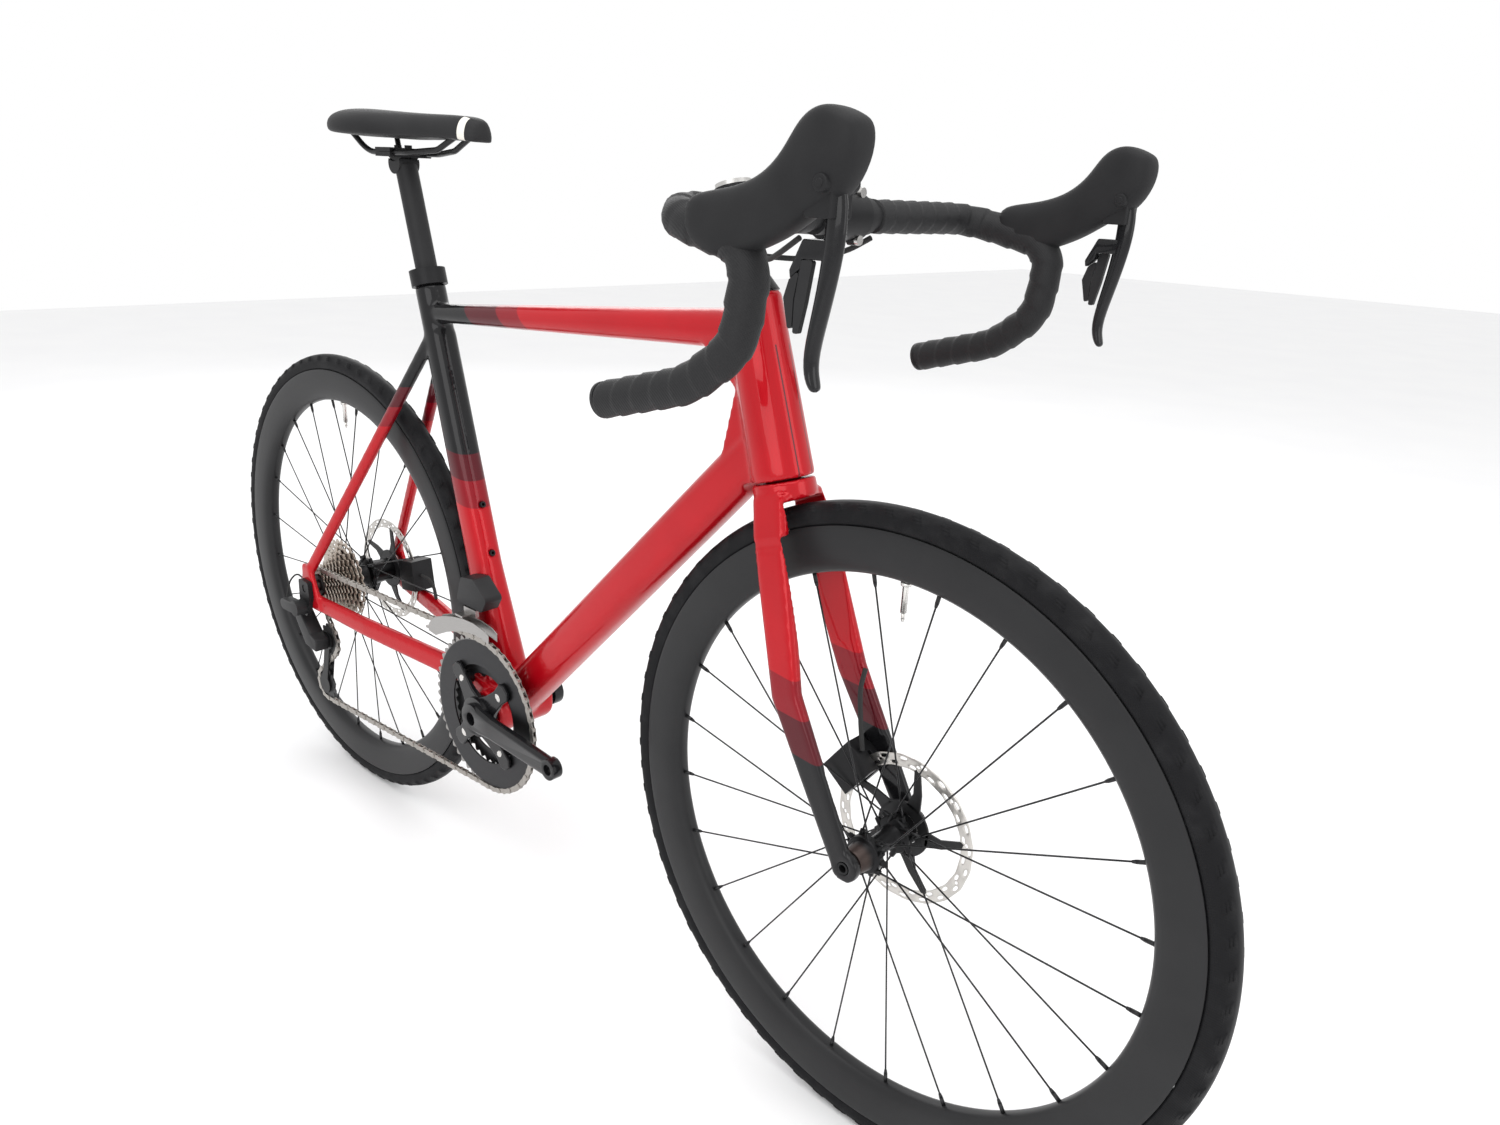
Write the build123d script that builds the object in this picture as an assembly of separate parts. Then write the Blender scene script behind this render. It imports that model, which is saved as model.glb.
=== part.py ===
from build123d import *
import os
from math import atan2, cos, hypot, pi, radians, sin, sqrt, tan

# Road bicycle with disc brakes and electronic shifting.
# Origin on the ground midway between the axles; +X forward, +Y to the rider's left, +Z up.
# The drive side is -Y.  All sizes are in millimetres and degrees.

os.makedirs("parts", exist_ok=True)

# ---- driving dimensions: frame and fork ----
WHEELBASE = 995.0
WHEEL_RADIUS = 339.0
BB_DROP = 70.0
CHAINSTAY = 406.0
HEAD_ANGLE = 73.0
SEAT_ANGLE = 73.7
FORK_RAKE = 45.0
CROWN_HEIGHT = 362.0          # along the steering axis, from level with the axle to the crown race
HEAD_TUBE_LENGTH = 174.0
HEAD_TUBE_LOW_R = 31.0
HEAD_TUBE_TOP_R = 27.5
STEERER_R = 14.3
BEARING_R = 23.5
BEARING_HEIGHT = 7.0
BEARING_GAP = 1.5             # crown race gap between fork and head tube
SEAT_TUBE_LENGTH = 552.0
SEAT_TUBE_R = 19.0
TOP_TUBE_WIDTH = 38.0
DOWN_TUBE_WIDTH = 42.0
DOWN_TUBE_DEPTH = 54.0
STAY_WIDTH = 15.0
BB_SHELL_R = 30.0
BB_SHELL_WIDTH = 86.5
BB_BORE_R = 20.5
DROPOUT_THICKNESS = 8.0
REAR_SPACING = 142.0
FRONT_SPACING = 100.0
THRU_AXLE_R = 6.0
BOLT_R = 2.5
FIT = 0.05                    # radial clearance of a fit
GAP = 0.3                     # clearance between parts that move past each other

# ---- driving dimensions: seat ----
POST_R = 13.6
POST_TOP = 705.0              # along the seat tube from the bottom bracket
POST_INSERTION = 120.0
SADDLE_LENGTH = 268.0
SADDLE_WIDTH = 145.0
SADDLE_TOP = 1006.0
SADDLE_TAIL_X = -391.0
RAIL_R = 3.5
RAIL_SPREAD = 22.0

# ---- driving dimensions: cockpit ----
STEM_LENGTH = 120.0
SPACER_STACK = 58.0
SPACER_R = 17.5
STEM_CLAMP_HEIGHT = 40.0
BAR_HALF_WIDTH = 211.0
BAR_CLAMP_R = 15.9
BAR_R = 12.0
TAPE_R = 15.5

# ---- driving dimensions: wheels ----
TYRE_R = 14.0
TYRE_WALL = 2.0
RIM_DEPTH = 45.0
RIM_WIDTH = 27.0
RIM_WALL = 2.0
RIM_EDGE_RADIUS = 317.0
SPOKE_COUNT = 24
SPOKE_R = 1.1
VALVE_R = 3.0
ROTOR_RADIUS = 80.0
ROTOR_THICKNESS = 1.8

# ---- driving dimensions: drivetrain ----
LINK_PITCH = 12.7
RING_TEETH = 52
INNER_RING_TEETH = 36
COGS = (11, 12, 13, 14, 15, 16, 17, 19, 21, 24, 27, 30)
COG_STEP = 3.65
CHAIN_COG = 1                 # the cog that the chain lies on, counted from the smallest
PULLEY_TEETH = 12
CHAIN_WIDTH = 5.3
CHAIN_HALF_HEIGHT = 3.9
CRANK_LENGTH = 170.0
CHAIN_LINE = 47.0
RING_STEP = 7.5
PEDAL_HOLE_R = 6.9
DISC_THICKNESS = 1.8

# ---- places that follow from the dimensions ----
REAR_X = -WHEELBASE / 2
FRONT_X = WHEELBASE / 2
AXLE_Z = WHEEL_RADIUS
BB_Z = AXLE_Z - BB_DROP
BB_X = REAR_X + sqrt(CHAINSTAY**2 - BB_DROP**2)
HEAD_RUN = cos(radians(HEAD_ANGLE))
HEAD_RISE = sin(radians(HEAD_ANGLE))
SEAT_RUN = cos(radians(SEAT_ANGLE))
SEAT_RISE = sin(radians(SEAT_ANGLE))
HEAD_LOW = CROWN_HEIGHT + BEARING_GAP
HEAD_TOP = HEAD_LOW + HEAD_TUBE_LENGTH
STEM_BASE = HEAD_TOP + BEARING_GAP + SPACER_STACK
STEERER_TOP = STEM_BASE + STEM_CLAMP_HEIGHT - 3


def steer(along, ahead=0.0, side=0.0):
    """A point on the steering axis, moved ahead square to it and out to one side."""
    x = FRONT_X - FORK_RAKE * HEAD_RISE - along * HEAD_RUN + ahead * HEAD_RISE
    z = AXLE_Z - FORK_RAKE * HEAD_RUN + along * HEAD_RISE + ahead * HEAD_RUN
    return Vector(x, side, z)


def seat(along, ahead=0.0, side=0.0):
    """A point on the seat tube's axis, moved ahead square to it and out to one side."""
    x = BB_X - along * SEAT_RUN + ahead * SEAT_RISE
    z = BB_Z + along * SEAT_RISE + ahead * SEAT_RUN
    return Vector(x, side, z)


STEER_UP = Vector(-HEAD_RUN, 0, HEAD_RISE)
SEAT_UP = Vector(-SEAT_RUN, 0, SEAT_RISE)
ACROSS = Vector(0, 1, 0)


def rod(start, end, radius):
    """A round bar between two points."""
    start, end = Vector(start), Vector(end)
    plane = Plane(origin=start, z_dir=end - start)
    return plane * Cylinder(radius, (end - start).length, align=(Align.CENTER, Align.CENTER, Align.MIN))


def ring(start, end, outer, inner):
    """A round sleeve between two points."""
    return rod(start, end, outer) - rod(start, end, inner)


def disc(x, z, y_low, y_high, radius, bore=0.0):
    """A disc or sleeve square to the wheels' axes."""
    body = rod((x, y_low, z), (x, y_high, z), radius)
    if bore:
        body -= rod((x, y_low - 1, z), (x, y_high + 1, z), bore)
    return body


def slab(points, y_low, y_high, corner=0.0):
    """A plate with an outline of (x, z) points, from one y to another."""
    outline = Polyline(*[(x, 0, z) for x, z in points], close=True)
    body = Pos(0, y_low, 0) * Solid.extrude(make_face(outline).face(), Vector(0, y_high - y_low, 0))
    if corner:
        body = fillet(body.edges().filter_by(Axis.Y), corner)
    return body


def limb(sections):
    """A tube with flat-sided, round-cornered sections: (centre, direction, width, depth)."""
    faces = []
    for centre, direction, width, depth in sections:
        plane = Plane(origin=Vector(centre), x_dir=ACROSS, z_dir=Vector(direction))
        faces.append(plane * RectangleRounded(width, depth, 0.42 * min(width, depth)))
    return loft(faces, ruled=True)


def both(build):
    """The same piece on the right and on the left."""
    return [build(-1), build(1)]


def save(name, *bodies):
    """Write one node, which holds one or more separate solids."""
    solids = []
    for body in bodies:
        solids += list(body.solids())
    export_step(Compound(children=solids), f"parts/{name}.step")


# ---- frame ----
TOP_TUBE_HEAD = HEAD_TOP - 32
TOP_TUBE_SEAT_DEPTH = 22.0
TOP_TUBE_HEAD_DEPTH = 40.0
DOWN_TUBE_HEAD = HEAD_LOW + 42
STAY_DEPTH = 28.0
HEAD_WEB_LENGTH = 62.0
HEAD_WEB_WIDTH = 34.0
SEATSTAY_TOP = SEAT_TUBE_LENGTH - 62
DROPOUT_INNER = REAR_SPACING / 2
DROPOUT_OUTER = DROPOUT_INNER + DROPOUT_THICKNESS
STAY_REAR_Y = DROPOUT_OUTER - STAY_WIDTH / 2 + 1


def head_tube():
    low, top = steer(HEAD_LOW), steer(HEAD_TOP)
    plane_low = Plane(origin=low, z_dir=STEER_UP)
    return plane_low * Cone(HEAD_TUBE_LOW_R, HEAD_TUBE_TOP_R, HEAD_TUBE_LENGTH,
                            align=(Align.CENTER, Align.CENTER, Align.MIN))


def head_tube_hollow():
    hollow = rod(steer(HEAD_LOW - 1), steer(HEAD_TOP + 1), STEERER_R + 4)
    hollow += rod(steer(HEAD_LOW - 1), steer(HEAD_LOW + BEARING_HEIGHT), BEARING_R)
    return hollow + rod(steer(HEAD_TOP - BEARING_HEIGHT), steer(HEAD_TOP + 1), BEARING_R)


def top_tube():
    low = seat(SEAT_TUBE_LENGTH - 34)
    high = steer(TOP_TUBE_HEAD)
    run = high - low
    near_head = low + run * 0.8
    return limb([(low, run, TOP_TUBE_WIDTH - 8, TOP_TUBE_SEAT_DEPTH),
                 (near_head, run, TOP_TUBE_WIDTH, TOP_TUBE_HEAD_DEPTH - 5),
                 (high, run, TOP_TUBE_WIDTH + 4, TOP_TUBE_HEAD_DEPTH)])


def down_tube():
    low, high = Vector(BB_X + 6, 0, BB_Z + 8), steer(DOWN_TUBE_HEAD)
    run = high - low
    return limb([(low, run, DOWN_TUBE_WIDTH + 10, DOWN_TUBE_DEPTH),
                 (low + run * 0.75, run, DOWN_TUBE_WIDTH, DOWN_TUBE_DEPTH - 2),
                 (high, run, DOWN_TUBE_WIDTH, DOWN_TUBE_DEPTH - 4)])


def head_web():
    """The skin that flows from one tube to the other behind the head tube."""
    low, high = Vector(BB_X + 6, 0, BB_Z + 8), steer(DOWN_TUBE_HEAD)
    run = (high - low).normalized()
    upper = Vector(-run.Z, 0, run.X)
    on_top_tube = steer(TOP_TUBE_HEAD, -HEAD_WEB_LENGTH)
    on_down_tube = high - run * HEAD_WEB_LENGTH + upper * (DOWN_TUBE_DEPTH / 2 - 8)
    corners = [on_top_tube, steer(TOP_TUBE_HEAD), steer(DOWN_TUBE_HEAD), on_down_tube]
    corners.append(steer((TOP_TUBE_HEAD + DOWN_TUBE_HEAD) / 2, -HEAD_WEB_LENGTH * 0.45))
    web = slab([(corner.X, corner.Z) for corner in corners], -HEAD_WEB_WIDTH / 2, HEAD_WEB_WIDTH / 2)
    throat_low = steer(HEAD_LOW + 6, -4)
    throat_back = high - run * HEAD_WEB_LENGTH - upper * (DOWN_TUBE_DEPTH / 2 - 8)
    throat = [steer(DOWN_TUBE_HEAD), throat_low, throat_back, on_down_tube]
    return web + slab([(corner.X, corner.Z) for corner in throat], -HEAD_WEB_WIDTH / 2, HEAD_WEB_WIDTH / 2)


def seat_tube():
    wide = 2 * SEAT_TUBE_R
    lower = limb([(seat(20), SEAT_UP, wide + 16, wide + 14), (seat(190, -2), SEAT_UP, wide, wide + 6),
                  (seat(SEAT_TUBE_LENGTH - 60), SEAT_UP, wide, wide)])
    return lower + rod(seat(SEAT_TUBE_LENGTH - 75), seat(SEAT_TUBE_LENGTH), SEAT_TUBE_R)


def chainstay(side):
    rear = Vector(REAR_X + 2, side * STAY_REAR_Y, AXLE_Z - 22)
    middle = Vector(REAR_X + 130, side * (STAY_REAR_Y - 15), BB_Z + 40)
    inner_y = TYRE_R + 5 + STAY_WIDTH / 2
    front = Vector(BB_X - 80, side * inner_y, BB_Z + 28)
    root = Vector(BB_X - 5, side * (inner_y + 2), BB_Z + 10)
    return limb([(rear, middle - rear, STAY_WIDTH - 3, STAY_DEPTH - 4),
                 (middle, front - rear, STAY_WIDTH, STAY_DEPTH),
                 (front, root - middle, STAY_WIDTH, STAY_DEPTH + 4),
                 (root, root - front, STAY_WIDTH, STAY_DEPTH + 12)])


def seatstay(side):
    top = seat(SEATSTAY_TOP, 0, side * 11)
    low = Vector(REAR_X - 6, side * STAY_REAR_Y, AXLE_Z + 22)
    return limb([(top, top - low, STAY_WIDTH - 2, STAY_DEPTH - 10), (low, top - low, STAY_WIDTH - 2, STAY_DEPTH - 11)])


def dropout(side):
    outline = [(REAR_X - 20, AXLE_Z + 34), (REAR_X + 4, AXLE_Z + 34), (REAR_X + 22, AXLE_Z - 6),
               (REAR_X + 30, AXLE_Z - 32), (REAR_X - 6, AXLE_Z - 34), (REAR_X - 22, AXLE_Z - 4)]
    low, high = sorted((side * DROPOUT_INNER, side * DROPOUT_OUTER))
    return slab(outline, low, high, 5)


def frame():
    body = head_tube() + top_tube() + down_tube() + seat_tube() + head_web()
    body += disc(BB_X, BB_Z, -BB_SHELL_WIDTH / 2, BB_SHELL_WIDTH / 2, BB_SHELL_R)
    for side in (-1, 1):
        body += chainstay(side) + seatstay(side) + dropout(side)
    body -= disc(BB_X, BB_Z, -BB_SHELL_WIDTH, BB_SHELL_WIDTH, BB_BORE_R)
    body -= disc(REAR_X, AXLE_Z, -2 * DROPOUT_OUTER, 2 * DROPOUT_OUTER, THRU_AXLE_R + FIT)
    body -= rod(seat(SEAT_TUBE_LENGTH - 160), seat(SEAT_TUBE_LENGTH + 1), POST_R + FIT)
    body -= head_tube_hollow()
    body -= rod(steer(HEAD_LOW - 60), steer(HEAD_LOW), HEAD_TUBE_LOW_R + 12)
    for place, outward in BOSS_PLACES:
        body -= rod(place - outward * 12, place + outward * 12, BOSS_R)
    return body


# ---- frame fittings ----
BOSS_R = 4.0
BOSS_BORE_R = 2.1
BOSS_SPACING = 64.0
BOSS_DEPTH = 8.0
BOSS_LIP = 1.5
CUP_WALL = 4.0
SPINDLE_R = 12.0
HANGER_THICKNESS = 7.0
COLLAR_HEIGHT = 20.0
COLLAR_R = 22.5


def boss_places():
    """Bottle bosses: two on the seat tube's front and two on the down tube's back."""
    places = []
    run = (steer(DOWN_TUBE_HEAD) - Vector(BB_X + 6, 0, BB_Z + 8)).normalized()
    outward = Vector(-run.Z, 0, run.X)
    for along in (205, 205 + BOSS_SPACING):
        places.append((seat(along, SEAT_TUBE_R + 1), Vector(SEAT_RISE, 0, SEAT_RUN)))
    for along in (240, 240 + BOSS_SPACING):
        on_axis = Vector(BB_X + 6, 0, BB_Z + 8) + run * along
        places.append((on_axis + outward * (DOWN_TUBE_DEPTH / 2 - 1), outward))
    return places


BOSS_PLACES = boss_places()


def bottle_bosses():
    bosses = []
    for place, outward in BOSS_PLACES:
        insert = rod(place - outward * BOSS_DEPTH, place + outward * BOSS_LIP, BOSS_R - FIT)
        bosses.append(insert - rod(place - outward * 20, place + outward * 20, BOSS_BORE_R))
    return bosses


def frame_bearings():
    low = ring(steer(HEAD_LOW), steer(HEAD_LOW + BEARING_HEIGHT), BEARING_R - FIT, STEERER_R + FIT)
    top = ring(steer(HEAD_TOP - BEARING_HEIGHT), steer(HEAD_TOP), BEARING_R - FIT, STEERER_R + FIT)
    return [low, top]


def bottom_bracket(side):
    face = side * BB_SHELL_WIDTH / 2
    inner = face - side * 12
    outer = face + side * 2.0
    cup = disc(BB_X, BB_Z, min(inner, outer), max(inner, outer), BB_BORE_R - FIT, SPINDLE_R + FIT)
    lip = disc(BB_X, BB_Z, min(face, outer), max(face, outer), BB_BORE_R + CUP_WALL, SPINDLE_R + FIT)
    return cup + lip


HANGER_BOLT_R = 4.0
HANGER_X = REAR_X - 6
HANGER_Z = AXLE_Z - 30


def derailleur_hanger():
    inner = -DROPOUT_OUTER - HANGER_THICKNESS
    outline = [(REAR_X - 16, AXLE_Z + 12), (REAR_X + 12, AXLE_Z + 12), (REAR_X + 14, AXLE_Z - 12),
               (HANGER_X + 8, HANGER_Z - 14), (HANGER_X - 12, HANGER_Z - 12)]
    plate = slab(outline, inner, -DROPOUT_OUTER, 4)
    plate -= disc(REAR_X, AXLE_Z, inner - 1, 0, THRU_AXLE_R + FIT)
    return plate - disc(HANGER_X, HANGER_Z, inner - 1, 0, HANGER_BOLT_R + FIT)


def rear_thru_axle():
    left = DROPOUT_OUTER
    shaft = rod((REAR_X, -DROPOUT_OUTER - HANGER_THICKNESS + 1, AXLE_Z), (REAR_X, left + 1, AXLE_Z), THRU_AXLE_R)
    head = disc(REAR_X, AXLE_Z, left, left + 5, 9.5)
    return shaft + head - disc(REAR_X, AXLE_Z, left, left + 6, 3)


def seat_clamp():
    low, top = seat(SEAT_TUBE_LENGTH), seat(SEAT_TUBE_LENGTH + COLLAR_HEIGHT)
    collar = rod(low, top, COLLAR_R)
    ear = seat(SEAT_TUBE_LENGTH + COLLAR_HEIGHT / 2, -COLLAR_R)
    collar += Plane(origin=ear, z_dir=SEAT_UP, x_dir=ACROSS) * Box(16, 13, COLLAR_HEIGHT - 4)
    collar -= rod(low - SEAT_UP, top + SEAT_UP, POST_R + FIT)
    collar -= Plane(origin=ear, z_dir=SEAT_UP, x_dir=ACROSS) * Box(2, 24, COLLAR_HEIGHT + 4)
    middle = seat(SEAT_TUBE_LENGTH + COLLAR_HEIGHT / 2, -COLLAR_R - 3)
    collar -= rod(middle - ACROSS * 12, middle + ACROSS * 12, BOLT_R + FIT)
    bolt = rod(middle - ACROSS * 8, middle + ACROSS * 12, BOLT_R)
    bolt += rod(middle + ACROSS * 8, middle + ACROSS * 12, BOLT_R + 2)
    return collar, bolt


# ---- disc brakes: rotor planes, calipers and pads ----
FRONT_ROTOR_Y = FRONT_SPACING / 2 - 10.5
REAR_ROTOR_Y = REAR_SPACING / 2 - 15.3
PAD_TRAVEL = 0.5
PAD_THICKNESS = 4.0
PAD_SIZE = (26.0, 16.0)
ROTOR_BAND = 14.0
CALIPER_SLOT = 2 * (PAD_THICKNESS + PAD_TRAVEL) + ROTOR_THICKNESS + 2.4
CALIPER_WIDTH = 34.0


class Brake:
    """One disc brake: where its pads sit on the rotor's band and which way its body points."""

    def __init__(self, axle_x, rotor_y, angle):
        out = Vector(cos(radians(angle)), 0, sin(radians(angle)))
        self.plane = Plane(origin=(axle_x, rotor_y, AXLE_Z), x_dir=out, z_dir=ACROSS)
        self.middle = ROTOR_RADIUS - ROTOR_BAND / 2

    def place(self, x, y, z, length, width, height):
        return self.plane * Pos(x, y, z) * Box(length, width, height)

    def caliper(self, carrier):
        """The caliper's body, cut to seat on the stay or leg that carries it."""
        body = self.place(self.middle + 6, 0, 0, 38, 46, CALIPER_WIDTH)
        body -= self.place(self.middle - 4, 0, 0, 44, PAD_SIZE[0] + 2, CALIPER_SLOT + 2 * FIT)
        body -= self.plane * Cylinder(ROTOR_RADIUS + 3, ROTOR_THICKNESS + 2.4)
        return max((body - carrier).solids(), key=lambda solid: solid.volume)

    def pad(self, side):
        offset = ROTOR_THICKNESS / 2 + PAD_TRAVEL + GAP + PAD_THICKNESS / 2
        return self.place(self.middle, 0, side * offset, PAD_SIZE[1], PAD_SIZE[0], PAD_THICKNESS)


FRONT_BRAKE = Brake(FRONT_X, FRONT_ROTOR_Y, 143)
REAR_BRAKE = Brake(REAR_X, REAR_ROTOR_Y, 9)


# ---- fork ----
LEG_TOP_Y = 31.0
LEG_THICKNESS = 17.0
FORK_DROPOUT = 10.0


def fork_leg(side):
    inner = FRONT_SPACING / 2
    tip_y = side * (inner + FORK_DROPOUT / 2)
    tip = Vector(FRONT_X - 6, tip_y, AXLE_Z + 4)
    knee = steer(CROWN_HEIGHT * 0.45, 4, side * (inner + 1))
    crown = steer(CROWN_HEIGHT - 48, 3, side * (LEG_TOP_Y + 1))
    shoulder = steer(CROWN_HEIGHT - 14, 2, side * (LEG_TOP_Y - 11))
    return limb([(tip, knee - tip, FORK_DROPOUT, 25), (knee, crown - tip, LEG_THICKNESS - 3, 34),
                 (crown, shoulder - knee, LEG_THICKNESS, 42), (shoulder, shoulder - crown, LEG_THICKNESS + 6, 44)])


def fork():
    steerer = rod(steer(CROWN_HEIGHT - 14), steer(STEERER_TOP), STEERER_R)
    crown_low = CROWN_HEIGHT - 20
    crown = Plane(origin=steer(crown_low), z_dir=STEER_UP) * Cylinder(
        HEAD_TUBE_LOW_R, CROWN_HEIGHT - crown_low, align=(Align.CENTER, Align.CENTER, Align.MIN))
    body = steerer + crown
    for side in (-1, 1):
        low, high = sorted((side * FRONT_SPACING / 2, side * (FRONT_SPACING / 2 + FORK_DROPOUT)))
        body += fork_leg(side) + disc(FRONT_X, AXLE_Z, low, high, 15)
    body -= disc(FRONT_X, AXLE_Z, -30, 30, WHEEL_RADIUS + 5)
    body -= disc(FRONT_X, AXLE_Z, -40, 40, WHEEL_RADIUS - 25)
    body -= disc(FRONT_X, AXLE_Z, -FRONT_SPACING / 2, FRONT_SPACING / 2, ROTOR_RADIUS + 12)
    body -= disc(FRONT_X, AXLE_Z, -100, 100, THRU_AXLE_R + FIT)
    return body - rod(steer(CROWN_HEIGHT + 20), steer(STEERER_TOP + 1), STEERER_R - 3)


def front_thru_axle():
    edge = FRONT_SPACING / 2 + FORK_DROPOUT
    shaft = rod((FRONT_X, -edge, AXLE_Z), (FRONT_X, edge + 1, AXLE_Z), THRU_AXLE_R)
    head = disc(FRONT_X, AXLE_Z, edge, edge + 5, 9.5)
    return shaft + head - disc(FRONT_X, AXLE_Z, edge + 1, edge + 6, 3) - disc(FRONT_X, AXLE_Z, -edge - 1, 0, 4)


# ---- wheels ----
RIM_INNER_RADIUS = RIM_EDGE_RADIUS - RIM_DEPTH
TYRE_CENTRE = WHEEL_RADIUS - TYRE_R
NIPPLE_R = 2.2
HUB_AXLE_R = 9.0
ROTOR_SEAT_R = 17.0
NIPPLE_LENGTH = 9.0
SPOKE_LEAN = 38.0
SPOKE_ROW = 1.8
FLANGE_HALF = 3.2


def spun(face_xz, x):
    """A full turn of a section drawn in (x, z) about the wheel's axis at a given x."""
    axis = Axis((0, 0, 0), (0, 1, 0))
    return Pos(x, 0, AXLE_Z) * revolve(face_xz, axis)


def section(points):
    """A closed section from (y, radius) points, drawn above the wheel's axis."""
    return make_face(Polyline(*[(0, y, radius) for y, radius in points], close=True))


def tyre(x):
    hollow = TYRE_R - TYRE_WALL
    circle = Plane(origin=(0, 0, TYRE_CENTRE), z_dir=(1, 0, 0)) * (Circle(TYRE_R) - Circle(hollow))
    body = spun(circle, x)
    return body - disc(x, AXLE_Z, -RIM_WIDTH, RIM_WIDTH, RIM_EDGE_RADIUS + GAP)


def rim(x):
    half, wall = RIM_WIDTH / 2, RIM_WALL
    bed = RIM_EDGE_RADIUS - 8
    nose = RIM_INNER_RADIUS
    outer = [(half, RIM_EDGE_RADIUS), (half, nose + 16), (half - 4, nose + 4), (4, nose)]
    outer += [(-y, radius) for y, radius in reversed(outer)]
    outer += [(wall - half, RIM_EDGE_RADIUS), (wall - half, bed), (half - wall, bed), (half - wall, RIM_EDGE_RADIUS)]
    hollow = [(half - wall, bed - wall), (half - wall, nose + 17), (half - 5, nose + 6), (3, nose + wall + 1)]
    hollow += [(-y, radius) for y, radius in reversed(hollow)]
    body = spun(section(outer), x) - spun(section(hollow), x)
    return body - rod((x, 0, AXLE_Z), (x, 0, AXLE_Z + RIM_EDGE_RADIUS + 5), VALVE_R + GAP)


def on_wheel(x, radius, angle, y):
    return Vector(x + radius * sin(radians(angle)), y, AXLE_Z + radius * cos(radians(angle)))


def spoke_lines(x, flange_r, flange_y):
    """Root and tip of each straight-pull spoke: alternate sides, pulled forward and back in turn."""
    lines = []
    step = 360 / SPOKE_COUNT
    for number in range(SPOKE_COUNT):
        angle = (number + 0.5) * step
        side = 1 if number % 2 else -1
        pull = 1 if number // 2 % 2 else -1
        root = on_wheel(x, flange_r, angle + pull * SPOKE_LEAN, side * (flange_y + pull * SPOKE_ROW))
        lines.append((root, on_wheel(x, RIM_INNER_RADIUS - FIT, angle, 0)))
    return lines


def spokes(x, flange_r, flange_y):
    bars = []
    for root, tip in spoke_lines(x, flange_r, flange_y):
        run = (tip - root).normalized()
        bar = rod(root, tip - run, SPOKE_R)
        bars.append(bar + rod(tip - run * (NIPPLE_LENGTH + 1), tip - run, NIPPLE_R))
    return bars


def valve(x):
    low = RIM_INNER_RADIUS - 14
    stem = rod((x, 0, AXLE_Z + low), (x, 0, AXLE_Z + RIM_EDGE_RADIUS - 4), VALVE_R)
    return stem + rod((x, 0, AXLE_Z + RIM_EDGE_RADIUS - 6.5), (x, 0, AXLE_Z + RIM_EDGE_RADIUS - 4), VALVE_R + 3)


def rotor(x, y):
    low, high = y - ROTOR_THICKNESS / 2, y + ROTOR_THICKNESS / 2
    band = disc(x, AXLE_Z, low, high, ROTOR_RADIUS, ROTOR_RADIUS - ROTOR_BAND)
    for number in range(5):
        spoke = Pos(x, y, AXLE_Z) * Rot(0, 72 * number, 0) * Pos(0, 0, 44) * Box(13, ROTOR_THICKNESS, 50)
        band += spoke
    return band + disc(x, AXLE_Z, low, high, 24, ROTOR_SEAT_R + FIT)


def hub(x, flange_r, flange_y, spacing, rotor_y):
    """A hub shell with two flanges, axle ends and the splined seat of its rotor."""
    end = spacing / 2 - GAP
    body = disc(x, AXLE_Z, -end, end, HUB_AXLE_R)
    body += disc(x, AXLE_Z, -flange_y, flange_y, 14)
    for side in (-1, 1):
        body += disc(x, AXLE_Z, side * flange_y - FLANGE_HALF, side * flange_y + FLANGE_HALF, flange_r + 3)
    body += disc(x, AXLE_Z, flange_y, rotor_y + 4, ROTOR_SEAT_R)
    for root, tip in spoke_lines(x, flange_r, flange_y):
        run = (tip - root).normalized()
        body -= rod(root - run * FIT, root + run * 12, SPOKE_R + FIT)
    return body - disc(x, AXLE_Z, -100, 100, THRU_AXLE_R + FIT)


# ---- drivetrain: pitch circles and the chain's path ----
def pitch_radius(teeth):
    return LINK_PITCH / (2 * sin(pi / teeth))


COG_Y = [-(REAR_SPACING / 2 - 9) + COG_STEP * number for number in range(len(COGS))]
CHAIN_REAR_Y = COG_Y[CHAIN_COG]
COG_R = pitch_radius(COGS[CHAIN_COG])
RING_R = pitch_radius(RING_TEETH)
INNER_RING_R = pitch_radius(INNER_RING_TEETH)
PULLEY_R = pitch_radius(PULLEY_TEETH)
UNDER_CHAIN = CHAIN_HALF_HEIGHT + GAP      # a disc below the chain stays this far under the pitch circle
TOOTH = 2.5
SHIFT_RISE = 1.2              # the rear derailleur rises or drops this much beside the chain
FLAT_RUN = 20.0
CHAIN_CUT = 0.95              # the chain's two pieces stay this far apart
REAR = (REAR_X, AXLE_Z)
FRONT = (BB_X, BB_Z)
GUIDE = (REAR_X + 11.5, AXLE_Z - 87.0)
TENSION = (REAR_X - 8.5, AXLE_Z - 167.0)


def normal(start, end, reach, sign):
    """The direction from the first centre to a tangent's point, on the side that sign gives."""
    length = hypot(end[0] - start[0], end[1] - start[1])
    along = ((end[0] - start[0]) / length, (end[1] - start[1]) / length)
    share = reach / length
    side = sign * sqrt(1 - share**2)
    return (share * along[0] - side * along[1], share * along[1] + side * along[0])


TOP_NORMAL = normal(REAR, FRONT, COG_R - RING_R, 1)
LOW_NORMAL = normal(TENSION, FRONT, PULLEY_R - RING_R, -1)
CAGE_NORMAL = normal(GUIDE, TENSION, 2 * PULLEY_R, 1)
COG_NORMAL = normal(REAR, GUIDE, COG_R + PULLEY_R, -1)


def rim_point(centre, radius, direction):
    return (centre[0] + radius * direction[0], centre[1] + radius * direction[1])


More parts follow.
